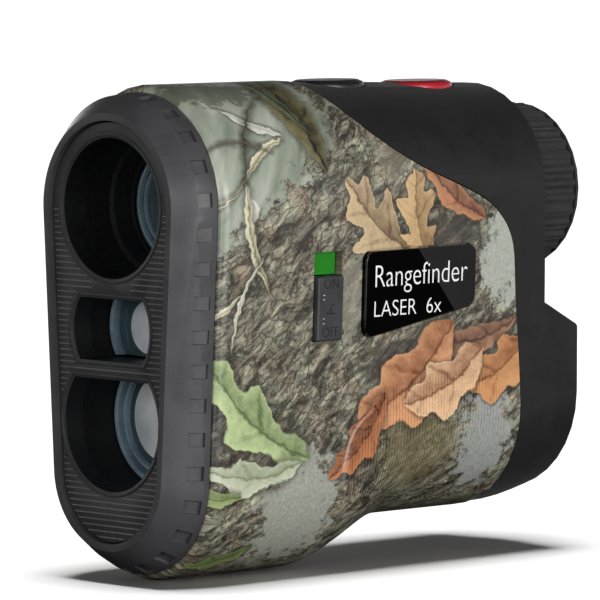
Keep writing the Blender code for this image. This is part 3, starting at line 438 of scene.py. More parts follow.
def print_sheet(tree, place):
    """The flat sheet wrapped round the body, in millimetres: x along its depth, y up and round it."""
    offset = add(tree, "VectorMath", {0: place, 1: at(0, 0, 0)}, operation="SUBTRACT")[0]
    solid = add(tree, "VectorMath", {0: offset, "Scale": 1 / MM}, operation="SCALE")[0]
    parts = add(tree, "SeparateXYZ", {0: solid})
    side = add(tree, "Math", {0: parts["X"]}, operation="ABSOLUTE")[0]
    above = add(tree, "Math", {0: parts["Z"], 1: 0.0}, operation="MAXIMUM")[0]
    top_angle = add(tree, "Math", {0: above, 1: side}, operation="ARCTAN2")[0]
    flat = add(tree, "Clamp", {0: parts["Z"], 1: BOTTOM_CENTRE, 2: 0.0})[0]
    over = add(tree, "Math", {0: top_angle, 1: TOP_RADIUS, 2: flat}, operation="MULTIPLY_ADD")[0]
    sunk = add(tree, "Math", {0: parts["Z"], 1: BOTTOM_CENTRE}, operation="SUBTRACT")[0]
    below = add(tree, "Math", {0: sunk, 1: 0.0}, operation="MINIMUM")[0]
    low_angle = add(tree, "Math", {0: below, 1: side}, operation="ARCTAN2")[0]
    round_it = add(tree, "Math", {0: low_angle, 1: BOTTOM_RADIUS, 2: over}, operation="MULTIPLY_ADD")[0]
    far_side = add(tree, "Math", {0: parts["X"], 1: 0.0}, operation="LESS_THAN")[0]
    turned = add(tree, "Math", {0: PRINT_LENGTH, 1: parts["Y"]}, operation="SUBTRACT")[0]
    along = add(tree, "Mix", {0: far_side, 2: parts["Y"], 3: turned}, data_type="FLOAT")[0]
    return solid, add(tree, "CombineXYZ", {0: along, 1: round_it})[0]


def woodland_ground(tree, solid, sheet):
    """Bark in a slanting band over pale mist, with plain and pale patches between."""
    mist_map = add(tree, "Mapping", {0: sheet, "Rotation": (0, 0, math.radians(62)),
                                     "Scale": (16, 5, 1)}, vector_type="TEXTURE")[0]
    mist = add(tree, "TexNoise", {"Vector": mist_map, "Scale": 1.0, "Detail": 4.0, "Distortion": 0.5})["Fac"]
    pale = add(tree, "ValToRGB", {0: mist}, stops=((0.32, "#76806f"), (0.72, "#c6c7b6"), (0.45, "#939b8b"),
                                                   (0.58, "#a9ae9f")))["Color"]
    bark_map = add(tree, "Mapping", {0: sheet, "Rotation": (0, 0, math.radians(36)),
                                     "Scale": (5.0, 2.0, 1)}, vector_type="TEXTURE")[0]
    streaks = add(tree, "TexNoise", {"Vector": bark_map, "Scale": 1.0, "Detail": 10.0, "Roughness": 0.78,
                                     "Distortion": 0.8})["Fac"]
    bark = add(tree, "ValToRGB", {0: streaks}, stops=((0.36, "#24221e"), (0.66, "#dcdac9"),
                                                      (0.43, "#524f47"), (0.49, "#837f72"),
                                                      (0.55, "#adaa9a")))["Color"]
    tint = add(tree, "TexNoise", {"Vector": solid, "Scale": 0.22, "Detail": 5.0})["Fac"]
    warm = add(tree, "ValToRGB", {0: tint}, stops=((0.36, "#858a7b"), (0.68, "#957a5e"), (0.52, "#807b6e")),
               )["Color"]
    tinted = add(tree, "Mix", {0: 0.55, 6: bark, 7: warm}, data_type="RGBA", blend_type="OVERLAY")[2]
    crack_map = add(tree, "VectorMath", {0: bark_map, 1: (0.9, 0.9, 0.9), 2: add(tree, "TexNoise", {
        "Vector": sheet, "Scale": 0.5, "Detail": 3.0})["Color"]}, operation="MULTIPLY_ADD")[0]
    cracks = add(tree, "TexVoronoi", {"Vector": crack_map, "Scale": 1.5}, feature="DISTANCE_TO_EDGE")[0]
    gap = add(tree, "MapRange", {0: cracks, 1: 0.0, 2: 0.09, 3: 0.85, 4: 0.0})[0]
    rough_bark = add(tree, "Mix", {0: gap, 6: tinted, 7: linear("#2c2824")}, data_type="RGBA")[2]
    ragged = add(tree, "TexNoise", {"Vector": sheet, "Scale": 0.35, "Detail": 8.0, "Roughness": 0.7})["Fac"]
    fray = add(tree, "MapRange", {0: ragged, 1: 0.2, 2: 0.8, 3: -7.0, 4: 7.0}, clamp=False)[0]
    across = add(tree, "VectorMath", {0: sheet, 1: (-0.53, 0.848, 0)}, operation="DOT_PRODUCT")["Value"]
    level = add(tree, "Math", {0: across, 1: fray}, operation="ADD")[0]
    band = add(tree, "MapRange", {0: level, 1: -8.0, 2: -9.5})[0]
    parts = add(tree, "SeparateXYZ", {0: sheet})
    pushed = add(tree, "Math", {0: fray, 1: 0.35, 2: parts["X"]}, operation="MULTIPLY_ADD")[0]
    rear = add(tree, "MapRange", {0: pushed, 1: 33.0, 2: 35.0})[0]
    wooded = add(tree, "Math", {0: band, 1: rear}, operation="MAXIMUM")[0]
    ground = add(tree, "Mix", {0: wooded, 6: pale, 7: rough_bark}, data_type="RGBA")[2]
    specks = add(tree, "TexNoise", {"Vector": sheet, "Scale": 1.6, "Detail": 5.0, "Roughness": 0.7})["Fac"]
    for centre, half, fullness, code in PATCHES:
        local = add(tree, "Mapping", {0: sheet, "Location": (*centre, 0), "Scale": (*half, 1)},
                    vector_type="TEXTURE")[0]
        spread = add(tree, "VectorMath", {0: local}, operation="LENGTH")["Value"]
        uneven = add(tree, "Math", {0: fray, 1: 0.13, 2: spread}, operation="MULTIPLY_ADD")[0]
        inside = add(tree, "MapRange", {0: uneven, 1: 1.05, 2: 0.85, 4: fullness})[0]
        shade = add(tree, "MapRange", {0: specks, 1: 0.3, 2: 0.7, 3: 0.72, 4: 1.2}, clamp=False)[0]
        plain = add(tree, "VectorMath", {0: linear(code)[:3], "Scale": shade}, operation="SCALE")[0]
        ground = add(tree, "Mix", {0: inside, 6: ground, 7: plain}, data_type="RGBA")[2]
    return ground


def woodland_print():
    """ABS dip-printed with a woodland pattern under satin lacquer: misty ground, bark and leaves."""
    material, tree, shader, place = new_material("woodland_print_abs", Specular_IOR_Level=0.45,
                                                 Coat_Weight=0.2, Coat_Roughness=0.25)
    solid, sheet = print_sheet(tree, place)
    colour = woodland_ground(tree, solid, sheet)
    ripple = add(tree, "TexNoise", {"Vector": sheet, "Scale": 0.5, "Detail": 5.0})["Color"]
    warped = add(tree, "VectorMath", {0: ripple, 1: (2.0, 2.0, 0), 2: sheet}, operation="MULTIPLY_ADD")[0]
    leaf = leaf_group()
    for foot, tip, width, lobes, veins, dark, light in LEAVES:
        run = Vector(tip) - Vector(foot)
        made = add(tree, "Group", node_tree=leaf)
        node = made[0].node
        tree.links.new(warped, node.inputs["Sheet"])
        node.inputs["Foot"].default_value = (foot[0] + 1.0, foot[1] + 1.0, 0)
        node.inputs["Turn"].default_value = math.atan2(run.y, run.x)
        node.inputs["Length"].default_value = run.length
        node.inputs["Width"].default_value = width
        node.inputs["Lobes"].default_value = lobes
        node.inputs["Veins"].default_value = veins
        dim = add(tree, "MapRange", {0: made["Shadow"], 3: 0.0, 4: 0.62})[0]
        under = add(tree, "Mix", {0: dim, 6: colour, 7: linear("#26221e")}, data_type="RGBA")[2]
        blade = add(tree, "Mix", {0: made["Tone"], 6: linear(dark), 7: linear(light)}, data_type="RGBA")[2]
        colour = add(tree, "Mix", {0: made["Cover"], 6: under, 7: blade}, data_type="RGBA")[2]
    gloss = add(tree, "TexNoise", {"Vector": solid, "Scale": 0.3, "Detail": 3.0})["Fac"]
    matt = add(tree, "MapRange", {0: gloss, 1: 0.3, 2: 0.7, 3: 0.34, 4: 0.46})[0]
    peel = add(tree, "TexNoise", {"Vector": solid, "Scale": 2.2, "Detail": 2.0})["Fac"]
    bump = add(tree, "Bump", {"Height": peel, "Distance": 0.006 * MM, "Strength": 0.6})["Normal"]
    wire(tree, shader, Base_Color=colour, Roughness=matt, Normal=bump)
    return material


# ---- Modelling helpers ----

def pick(piece):
    """Makes this piece the only selected one, and active."""
    bpy.ops.object.select_all(action="DESELECT")
    piece.select_set(True)
    bpy.context.view_layer.objects.active = piece


def modify(piece, kind, **settings):
    """Adds a modifier with these settings and applies it."""
    modifier = piece.modifiers.new(kind.lower(), kind)
    for name, value in settings.items():
        setattr(modifier, name, value)
    pick(piece)
    bpy.ops.object.modifier_apply(modifier=modifier.name)


def combine(piece, tool, operation):
    """Joins, cuts or crosses a piece with a tool, which is then removed."""
    modify(piece, "BOOLEAN", object=tool, operation=operation, solver="EXACT")
    bpy.data.objects.remove(tool)


def bevel(piece, width, angle=40.0, segments=2):
    """Rounds the edges that turn by more than an angle, by a width in millimetres."""
    modify(piece, "BEVEL", width=width * MM, segments=segments, limit_method="ANGLE",
           angle_limit=math.radians(angle))


def settle(piece, name):
    """Puts a new piece's place, turn and size into its mesh, and names it."""
    pick(piece)
    bpy.ops.object.transform_apply(location=True, rotation=True, scale=True)
    piece.name = name
    piece.data.name = name
    return piece


def smooth(piece, angle=32.0):
    pick(piece)
    bpy.ops.object.shade_smooth_by_angle(angle=math.radians(angle))


def finish(piece, body, material, slot, *stands_for):
    """Gives a finished piece its material and body, and lets it stand for frame nodes; its slot argument is
    not used.
    """
    piece.data.materials.clear()
    piece.data.materials.append(material)
    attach(piece, body)
    if stands_for:
        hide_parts(*stands_for)
    return piece


def present(piece, name, material, slot, *stands_for, angle=32.0):
    """Names and smooths a new piece of the housing, and finishes it."""
    piece.name = name
    smooth(piece, angle)
    return finish(piece, "housing", material, slot, *stands_for)


def fine_copy(node, name):
    """A copy of a frame node with its corners merged and its flat faces whole."""
    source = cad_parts[node]
    piece = bpy.data.objects.new(name, source.data.copy())
    bpy.context.scene.collection.objects.link(piece)
    pick(piece)
    bpy.ops.object.mode_set(mode="EDIT")
    bpy.ops.mesh.select_all(action="SELECT")
    bpy.ops.mesh.remove_doubles(threshold=0.000002)
    bpy.ops.mesh.dissolve_limited(angle_limit=math.radians(0.4))
    bpy.ops.object.mode_set(mode="OBJECT")
    return piece


def soften(piece, edge, angle=32.0, segments=2):
    """Rounds a piece's sharp edges by a width in millimetres, and smooths its shading."""
    bevel(piece, edge, angle, segments)
    smooth(piece)
    modify(piece, "WEIGHTED_NORMAL", keep_sharp=True, weight=80)


def cylinder(radius, depths, height, x=0.0, sides=96):
    """A round bar along the part's depth, in millimetres."""
    start, end = depths
    bpy.ops.object.select_all(action="DESELECT")
    bpy.ops.mesh.primitive_cylinder_add(vertices=sides, radius=radius * MM, depth=(end - start) * MM,
                                        location=at(x, (start + end) / 2, height),
                                        rotation=(math.radians(90), 0, 0))
    return settle(bpy.context.object, "bar")


def block(xs, depths, heights):
    """A square block from its spans in millimetres."""
    bpy.ops.object.select_all(action="DESELECT")
    middle = at(sum(xs) / 2, sum(depths) / 2, sum(heights) / 2)
    bpy.ops.mesh.primitive_cube_add(size=1, location=middle)
    bpy.context.object.scale = [(b - a) * MM for a, b in (xs, depths, heights)]
    return settle(bpy.context.object, "block")


def trim(piece, point, normal):
    """Cuts off what lies beyond a plane, and closes the cut."""
    pick(piece)
    bpy.ops.object.mode_set(mode="EDIT")
    bpy.ops.mesh.select_all(action="SELECT")
    bpy.ops.mesh.bisect(plane_co=point, plane_no=normal, use_fill=True, clear_outer=True)
    bpy.ops.object.mode_set(mode="OBJECT")


def opening_bar(opening, grow, depths):
    """A bar with an opening's outline, grown by a distance; a clipped circle is cut flat."""
    radius, height, top, bottom = opening
    bar = cylinder(radius + grow, depths, height)
    if top is not None:
        trim(bar, at(0, 0, height + top + grow), (0, 0, 1))
    if bottom is not None:
        trim(bar, at(0, 0, height + bottom - grow), (0, 0, -1))
    return bar


def hull(*pieces):
    """The tight skin round several pieces, as one piece."""
    bpy.ops.object.select_all(action="DESELECT")
    for piece in pieces:
        piece.select_set(True)
    bpy.context.view_layer.objects.active = pieces[0]
    bpy.ops.object.join()
    bpy.ops.object.mode_set(mode="EDIT")
    bpy.ops.mesh.select_all(action="SELECT")
    bpy.ops.mesh.convex_hull(join_triangles=True, face_threshold=math.radians(0.5),
                             shape_threshold=math.radians(180))
    bpy.ops.object.mode_set(mode="OBJECT")
    return pieces[0]


def outline_bar(outline, depths, grow=0.0):
    """A bar whose outline wraps a wide round top and a narrower round bottom."""
    top_radius, bottom_radius, drop, lift = outline
    return hull(cylinder(top_radius + grow, depths, lift, sides=128),
                cylinder(bottom_radius + grow, depths, -drop, sides=128))


def repeat(piece, count, step):
    """A row of copies of a piece, a step of millimetres apart, in one mesh."""
    modify(piece, "ARRAY", count=count, use_relative_offset=False, use_constant_offset=True,
           constant_offset_displace=[s * MM for s in step])


# ---- Front ----

RIM = (15.3, 12.9, 42.3, 0.0)
CHAMFER = (17.85, 14.7, 43.0, 0.25)
BEZEL = (18.15, 16.1, 43.2, 0.25)
RIM_WIDTH = 1.2
CHAMFER_DEPTH = 2.6
BEZEL_DEPTH = 5.4
NOTCH_PITCH = 5.5
NOTCH_PLACE = 0.5
NOTCH_SUNK = 0.6
NOTCH_HALF = (1.15, 1.45)
CURVE_STEPS = 40
RIDGE_PITCH = 0.94
RIDGE_PROUD = 0.15
RIDGE_HEIGHT = 0.24
PLATE_FRONT = 0.0
LIP_GROWS = (0.75, 0.32)
LIP_DEPTHS = (PLATE_FRONT - 0.22, PLATE_FRONT + 0.3)
LINING_GROWS = (0.1, -0.12)
LINING_DEPTHS = (PLATE_FRONT + 0.15, 3.7)
CELLS = (
    # name, opening, (grow, start depth) of each step, end depth
    ("objective", OBJECTIVE, ((0.0, 3.8), (-1.0, 10.0), (-2.1, 18.4)), 22.0),
    ("emitter", EMITTER, ((0.1, 3.8), (-0.9, 10.7)), 12.0),
    ("receiver", RECEIVER, ((0.0, 3.8), (-1.1, 14.4)), 17.0),
)


LENSES = (
    # name, opening, (front, back), crown; opening, front, back, crown of the pale middle painted as a
    # reflection; rings painted as reflections
    ("objective", (10.1, 0.0, None, None), (14.3, 17.6), 1.1, (),
     (("edge_1", (0.0, 0.4), (13.6, 15.0)), ("edge_2", (1.1, 1.4), (13.9, 15.0)),
      ("edge_3", (2.4, 2.6), (14.1, 15.0)))),
    ("emitter", (8.8, EMITTER[1], 4.75, -4.75), (8.0, 10.3), 1.3,
     (((4.7, EMITTER[1], 4.6, -4.6), 7.8, 9.2, 0.6),), (("edge", (0.0, 0.8), (7.6, 9.4)),)),
    ("receiver", (10.9, RECEIVER[1], 6.7, None), (11.0, 14.0), 1.6,
     (((7.2, RECEIVER[1], 6.5, None), 10.8, 12.6, 0.8),),
     (("edge", (0.0, 0.8), (10.5, 12.8)), ("inner_edge", (1.7, 2.2), (10.9, 12.8)))),
)


def outline_points(outline):
    """Points (x, height) round an outline of a wide top circle and a narrower bottom one."""
    top_radius, bottom_radius, drop, lift = outline
    lean = math.asin((bottom_radius - top_radius) / (drop + lift))
    points = []
    for centre, radius, start, sweep in ((lift, top_radius, lean, math.pi - 2 * lean),
                                         (-drop, bottom_radius, math.pi - lean, math.pi + 2 * lean)):
        for i in range(CURVE_STEPS + 1):
            angle = start + sweep * i / CURVE_STEPS
            points.append(Vector((radius * math.cos(angle), centre + radius * math.sin(angle))))
    return points


def notch_spots():
    """Evenly spaced spots round the bezel's side: x, height, and how it turns and flares there."""
    inner, outer = outline_points(CHAMFER), outline_points(BEZEL)
    points = [a.lerp(b, NOTCH_PLACE) for a, b in zip(inner, outer)]
    flares = [math.atan2((b - a).length, BEZEL_DEPTH - CHAMFER_DEPTH) for a, b in zip(inner, outer)]
    ends = points[1:] + points[:1]
    lengths = [(b - a).length for a, b in zip(points, ends)]
    step = sum(lengths) / round(sum(lengths) / NOTCH_PITCH)
    spots, travelled, target = [], 0.0, step / 2
    for a, b, length, flare in zip(points, ends, lengths, flares):
        while target < travelled + length:
            spot = a.lerp(b, (target - travelled) / length)
            spots.append((spot.x, spot.y, math.atan2(b.y - a.y, b.x - a.x), flare))
            target += step
        travelled += length
    return spots


def bezel(material):
    """The front frame: a rim, a chamfer and a short side, with a shallow notch every few millimetres."""
    frame_piece = hull(outline_bar(RIM, (-0.9, -0.7)),
                       outline_bar(CHAMFER, (CHAMFER_DEPTH - 0.1, CHAMFER_DEPTH)),
                       outline_bar(BEZEL, (BEZEL_DEPTH, BEZEL_DEPTH + 1.1)))
    combine(frame_piece, outline_bar(RIM, (-3.0, 9.0), grow=-RIM_WIDTH), "DIFFERENCE")
    notch_depth = CHAMFER_DEPTH + NOTCH_PLACE * (BEZEL_DEPTH - CHAMFER_DEPTH)
    for x, height, turn, flare in notch_spots():
        notch = block(*[(-half, half) for half in NOTCH_HALF], (-1.0, NOTCH_SUNK))
        notch.data.transform(Matrix.Translation(-at(0, 0, 0)))
        notch.data.transform(Matrix.Rotation(-flare, 4, "X"))
        notch.data.transform(Matrix.Rotation(-turn, 4, "Y"))
        notch.data.transform(Matrix.Translation(at(x, notch_depth, height)))
        combine(frame_piece, notch, "DIFFERENCE")
    bevel(frame_piece, 0.16, angle=22)
    present(frame_piece, "moulded_bezel", material, "bezel_black", "front_bezel", angle=20.0)


def face_plate(material):
    """The flat plate inside the rim, with its three openings."""
    plate = outline_bar(RIM, (PLATE_FRONT, 3.4), grow=-RIM_WIDTH - 0.3)
    for opening in (OBJECTIVE, EMITTER, RECEIVER):
        combine(plate, opening_bar(opening, 0.0, (-2, 6)), "DIFFERENCE")
    bevel(plate, 0.14)
    present(plate, "moulded_face_plate", material, "plate_grey", "face_plate")


def cells(material):
    """The stepped barrels behind the openings."""
    for name, opening, steps, end in CELLS:
        cell = opening_bar(opening, 1.0, (steps[0][1], end))
        starts = [start for _, start in steps]
        for (grow, start), stop in zip(steps, starts[1:] + [end + 1]):
            inside = opening_bar(opening, grow, (start - 1.0, stop))
            combine(cell, inside, "DIFFERENCE")
        bevel(cell, 0.1)
        present(cell, f"stepped_{name}_cell", material, "anodised_black", f"{name}_cell")


def plate_ridges(material):
    """The fine level ridges of the face plate, left out round the openings and between them."""
    depths = (PLATE_FRONT - RIDGE_PROUD, PLATE_FRONT + 0.25)
    fields = ((-30.9, 0.0), (-56.0, -39.0))
    for i, (low, high) in enumerate(fields):
        ridge = block((-16, 16), depths, (low, low + RIDGE_HEIGHT))
        bevel(ridge, 0.06, angle=30)
        repeat(ridge, int((high - low) / RIDGE_PITCH) + 1, (0, 0, RIDGE_PITCH))
        combine(ridge, outline_bar(RIM, (-2, 2), grow=-RIM_WIDTH - 0.5), "INTERSECT")
        for opening in (OBJECTIVE, EMITTER, RECEIVER):
            combine(ridge, opening_bar(opening, 1.0, (-2, 2)), "DIFFERENCE")
        combine(ridge, block((-4.6, 4.6), (-2, 2), (-15.0, -10.0)), "DIFFERENCE")
        present(ridge, f"plate_ridges_{i + 1}", material, "plate_grey")


def ring(name, opening, grows, depths, material, slot, edge=None):
    """A ring between two sizes of an opening, larger first, with its edges rounded."""
    piece = opening_bar(opening, grows[0], depths)
    combine(piece, opening_bar(opening, grows[1], (depths[0] - 1, depths[1] + 1)), "DIFFERENCE")
    if edge:
        bevel(piece, edge)
    present(piece, name, material, slot)


def lens_ring(name, opening, insets, depths, material):
    """A ring on a lens between two insets from its rim; its hole is round even where the lens isn't."""
    radius, height, top, bottom = opening
    piece = opening_bar((radius - insets[0], height, top, bottom), 0.0, depths)
    combine(piece, cylinder(radius - insets[1], (depths[0] - 1, depths[1] + 1), height), "DIFFERENCE")
    bevel(piece, 0.05)
    present(piece, name, material, "coated_glass")


def lens(name, opening, front, back, crown, material, *stands_for):
    """A polished lens: its front is a shallow dome, cut to its opening's outline."""
    radius, height, top, bottom = opening
    ball_radius = (radius ** 2 + crown ** 2) / (2 * crown)
    bpy.ops.object.select_all(action="DESELECT")
    bpy.ops.mesh.primitive_uv_sphere_add(segments=128, ring_count=512, radius=ball_radius * MM,
                                         location=at(0, front + ball_radius, height),
                                         rotation=(math.radians(90), 0, 0))
    dome = settle(bpy.context.object, name)
    trim(dome, at(0, back, height), (0, 1, 0))
    combine(dome, opening_bar((radius, height, top, bottom), 0.0, (front - 1, back + 1)), "INTERSECT")
    present(dome, name, material, "coated_glass", *stands_for)


def front(finishes):
    bezel(finishes["satin"])
    face_plate(finishes["plate"])
    # The ridges' lighter finish is a painted highlight.
    plate_ridges(finishes["ridge_highlight"])
    for name, opening, *_ in CELLS:
        ring(f"{name}_lip", opening, LIP_GROWS, LIP_DEPTHS, finishes["plate"], "plate_grey", edge=0.07)
    cells(finishes["anodised"])
    for name, opening, *_ in CELLS:
        ring(f"{name}_lining", opening, LINING_GROWS, LINING_DEPTHS, finishes["anodised"], "anodised_black")
    for name, opening, depths, crown, painted_reflection_zones, edges in LENSES:
        lens(f"{name}_glass", opening, *depths, crown, finishes["glass"], f"{name}_lens")
        # Pale middles painted on the lenses as a reflection.
        for zone in painted_reflection_zones:
            lens(f"{name}_painted_reflection_zone", *zone, finishes["clear"])
        # Blue-grey rings painted on the lenses as reflections.
        for label, insets, reach in edges:
            lens_ring(f"{name}_{label}", opening, insets, reach, finishes["ground"])


# ---- Covers and housing ----

GROOVE = ((17.45, 42.6, -33.6), (17.4, 41.4, -34.3), (17.35, 39.6, -35.4), (17.25, 38.0, -37.0),
          (17.2, 36.8, -39.2), (17.1, 36.0, -41.6), (17.0, 35.4, -44.0), (16.7, 35.0, -46.4),
          (16.0, 34.9, -48.9))
GRIP_PITCH = 0.68
GRIP_FIELD = ((44.0, -30.5), (57.0, -28.5), (70.5, -30.5), (72.4, -34.0), (72.6, -46.0), (70.5, -50.5),
              (38.0, -50.5), (36.0, -47.0), (36.4, -43.6), (37.6, -39.8), (39.4, -36.6), (42.2, -34.4))


def curve_piece(name, points, closed=False, **settings):
    """A curve through points in metres, as a mesh."""
    data = bpy.data.curves.new(name, "CURVE")
    for setting, value in settings.items():
        setattr(data, setting, value)
    spline = data.splines.new("POLY")
    spline.points.add(len(points) - 1)
    for place, point in zip(spline.points, points):
        place.co = (*point, 1.0)
    spline.use_cyclic_u = closed
    piece = bpy.data.objects.new(name, data)
    bpy.context.scene.collection.objects.link(piece)
    pick(piece)
    bpy.ops.object.convert(target="MESH")
    return piece


def grip_groove():
    """The curved groove that bounds the grip, as the round tool that cuts it."""
    return curve_piece("groove", [at(x + 0.14, d, h) for x, d, h in GROOVE], dimensions="3D",
                       bevel_depth=0.72 * MM, bevel_resolution=3, use_fill_caps=True)


def grip_ribs(side, cover, material):
    """Fine upright ribs where the lower fingers hold the cover; they follow its surface."""
    x_far = side * 21.0
    outline = [(FACE_Y + d * MM, AXIS_Z + h * MM, 0) for d, h in GRIP_FIELD]
    field = curve_piece("field", outline, closed=True, dimensions="2D", fill_mode="BOTH",
                        extrude=8.0 * MM)
    field.matrix_world = Matrix(((0, 0, 1, side * 13.0 * MM), (1, 0, 0, 0), (0, 1, 0, 0), (0, 0, 0, 1)))
    settle(field, "field")
    rib = block(sorted((side * 5.0, x_far)), (36.0, 36.3), (-52.0, -27.0))
    repeat(rib, int(37.0 / GRIP_PITCH), (0, GRIP_PITCH, 0))
    combine(rib, field, "INTERSECT")
    shell = cover.copy()
    shell.data = cover.data.copy()
    bpy.context.scene.collection.objects.link(shell)
    modify(shell, "DISPLACE", mid_level=0.0, strength=0.13 * MM)
    combine(rib, shell, "INTERSECT")
    present(rib, "left_grip_ribs" if side > 0 else "right_grip_ribs", material, "camouflage")


def covers(finishes):
    for node, name, side in (("left_cover", "printed_left_cover", 1),
                             ("right_cover", "printed_right_cover", -1)):
        cover = fine_copy(node, name)
        grip_ribs(side, cover, finishes["print"])
        tool = grip_groove()
        if side < 0:
            tool.scale.x = -1
            settle(tool, "groove")
            pick(tool)
            bpy.ops.object.mode_set(mode="EDIT")
            bpy.ops.mesh.select_all(action="SELECT")
            bpy.ops.mesh.normals_make_consistent(inside=False)
            bpy.ops.object.mode_set(mode="OBJECT")
        combine(cover, tool, "DIFFERENCE")
        soften(cover, 0.16, angle=40.0)
        finish(cover, "housing", finishes["print"], "camouflage", node)


# ---- Parts that keep the frame's shapes ----

COPIES = (
    # frame node, name, body, finish, slot, rounded edge, segments
    ("objective_ring", "threaded_objective_ring", "housing", "anodised", "anodised_black", 0.08, 2),
    *[(f"cover_screw_{i}", f"cross_head_screw_{i}", "housing", "steel", "steel", 0.06, 2)
      for i in range(1, 5)],
    ("rear_housing", "soft_rear_housing", "housing", "soft", "housing_black", 0.2, 2),
    ("battery_cap", "moulded_battery_cap", "battery_cap", "satin", "housing_black", 0.15, 2),
    ("cap_bail", "formed_bail", "cap_bail", "steel", "steel", 0.18, 3),
    ("bail_pin", "peened_pin", "cap_bail", "steel", "steel", 0.1, 2),
    ("diopter_ring", "ribbed_focus_ring", "diopter", "rubber", "rubber_black", 0.12, 2),
    ("eyecup", "rubber_eyecup", "diopter", "rubber", "rubber_black", 0.25, 2),
    ("eyepiece_barrel", "turned_barrel", "housing", "anodised", "anodised_black", 0.12, 2),
    ("ocular_cell", "turned_ocular_cell", "ocular", "anodised", "anodised_black", 0.1, 2),
    ("ocular_ring", "threaded_ocular_ring", "ocular", "anodised", "anodised_black", 0.08, 2),
    ("ocular_lens", "polished_ocular_lens", "ocular", "glass", "coated_glass", 0.1, 2),
    ("measure_button", "domed_measure_button", "measure_button", "red", "button_red", 0.35, 4),
    ("mode_button", "domed_mode_button", "mode_button", "keypad", "rubber_black", 0.35, 4),
    ("slope_knob", "moulded_slope_knob", "slope_switch", "knob", "knob_grey", 0.25, 3),
)


def copied_parts(finishes):
    """The frame's own parts with their edges rounded."""
    for node, name, body, finish_name, slot, edge, segments in COPIES:
        piece = fine_copy(node, name)
        soften(piece, edge, segments=segments)
        finish(piece, body, finishes[finish_name], slot, node)


# ---- Switch and badge ----

def side_frame(node):
    """A matrix whose x, y and z are right, up and out on a node's largest face towards +X."""
    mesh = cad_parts[node].data
    facing = [p for p in mesh.polygons if p.normal.x > 0.9]
    largest = max(facing, key=lambda p: p.area)
    out = largest.normal.normalized()
    right = Vector((0, 0, 1)).cross(out).normalized()
    up = out.cross(right)
    return Matrix((right, up, out)).transposed().to_4x4(), largest.center.copy()


def on_face(node, depth, height, proud=0.0):
    """A place on a node's side face at this depth and height, and the face's directions."""
    turn, centre = side_frame(node)
    out = turn.to_3x3() @ Vector((0, 0, 1))
    spot = at(0, depth, height)
    spot.x = centre.x - (out.y * (spot.y - centre.y) + out.z * (spot.z - centre.z)) / out.x
    return Matrix.Translation(spot + out * proud * MM) @ turn


def lettering(name, words, size, place, stretch, body, material, slot, centred=True):
    """Thin printed letters whose capitals are about 0.7 of the size, in millimetres."""
    bpy.ops.object.select_all(action="DESELECT")
    bpy.ops.object.text_add()
    letters = bpy.context.object
    letters.data.body = words
    letters.data.size = size * MM
    letters.data.extrude = 0.02 * MM
    letters.data.offset = -0.012 * size * MM
    letters.data.align_x = "CENTER" if centred else "LEFT"
    letters.data.align_y = "CENTER"
    pick(letters)
    bpy.ops.object.convert(target="MESH")
    letters.matrix_world = place @ Matrix.Diagonal((stretch, 1, 1, 1))
    settle(letters, name)
    finish(letters, body, material, slot)


def slope_angle_sign(material):
    """The small angle sign between the switch's two words: two arms and an arc."""
    sign = on_face("slope_knob", 30.6, knob_middle() - 0.1, 0.0)
    strokes = (((-0.9, -0.75), (0.95, -0.75)), ((-0.9, -0.75), (0.75, 0.85)))
    arc = [(-0.9 + 1.15 * math.cos(a), -0.75 + 1.15 * math.sin(a))
           for a in [math.radians(46 * i / 6) for i in range(7)]]
    for i, line in enumerate((*strokes, arc)):
        points = [sign @ Vector((x * MM, y * MM, 0)) for x, y in line]
        stroke = curve_piece(f"angle_sign_{i + 1}", points, dimensions="3D", bevel_depth=0.085 * MM,
                             bevel_resolution=1, use_fill_caps=True)
        finish(stroke, "slope_switch", material, "knob_grey")


def knob_middle():
    """The height of the slope knob's middle."""
    return (sum(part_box("slope_knob"), Vector()).z / 2 - AXIS_Z) / MM


def switch_marks(finishes):
    """The words, the angle sign and the index dots on the slope switch's knob."""
    for name, words, rise in (("word_on", "ON", 3.9), ("word_off", "OFF", -3.9)):
        place = on_face("slope_knob", 30.6, knob_middle() + rise, 0.0)
        lettering(name, words, 2.35, place, 0.92, "slope_switch", finishes["dark_ink"], "knob_grey")
    slope_angle_sign(finishes["dark_ink"])
    for i, rise in enumerate((2.2, 1.5, -1.6, -2.4)):
        spot = at(0, 28.9, knob_middle() + rise)
        mark = on_face("slope_knob", 28.9, (spot.z - AXIS_Z) / MM)
        points = [mark @ Vector((x * MM, 0, 0)) for x in (0.0, 0.22)]
        dot = curve_piece(f"index_dot_{i + 1}", points, dimensions="3D", bevel_depth=0.08 * MM,
                          bevel_resolution=1, use_fill_caps=True)
        finish(dot, "slope_switch", finishes["white_ink"], "knob_grey")


def badge(finishes):
    plate = fine_copy("name_badge", "acrylic_badge")
    soften(plate, 0.12, angle=50.0, segments=3)
    finish(plate, "housing", finishes["acrylic"], "badge_black", "name_badge")
    line = on_face("name_badge", 40.3, -12.2)
    lettering("badge_word_large", "Rangefinder", 5.3, line, 0.86, "housing", finishes["white_ink"],
              "badge_black", centred=False)
    line = on_face("name_badge", 40.3, -17.5)
    lettering("badge_word_small", "LASER  6x", 3.8, line, 0.98, "housing", finishes["white_ink"],
              "badge_black", centred=False)


# ---- Inner parts ----

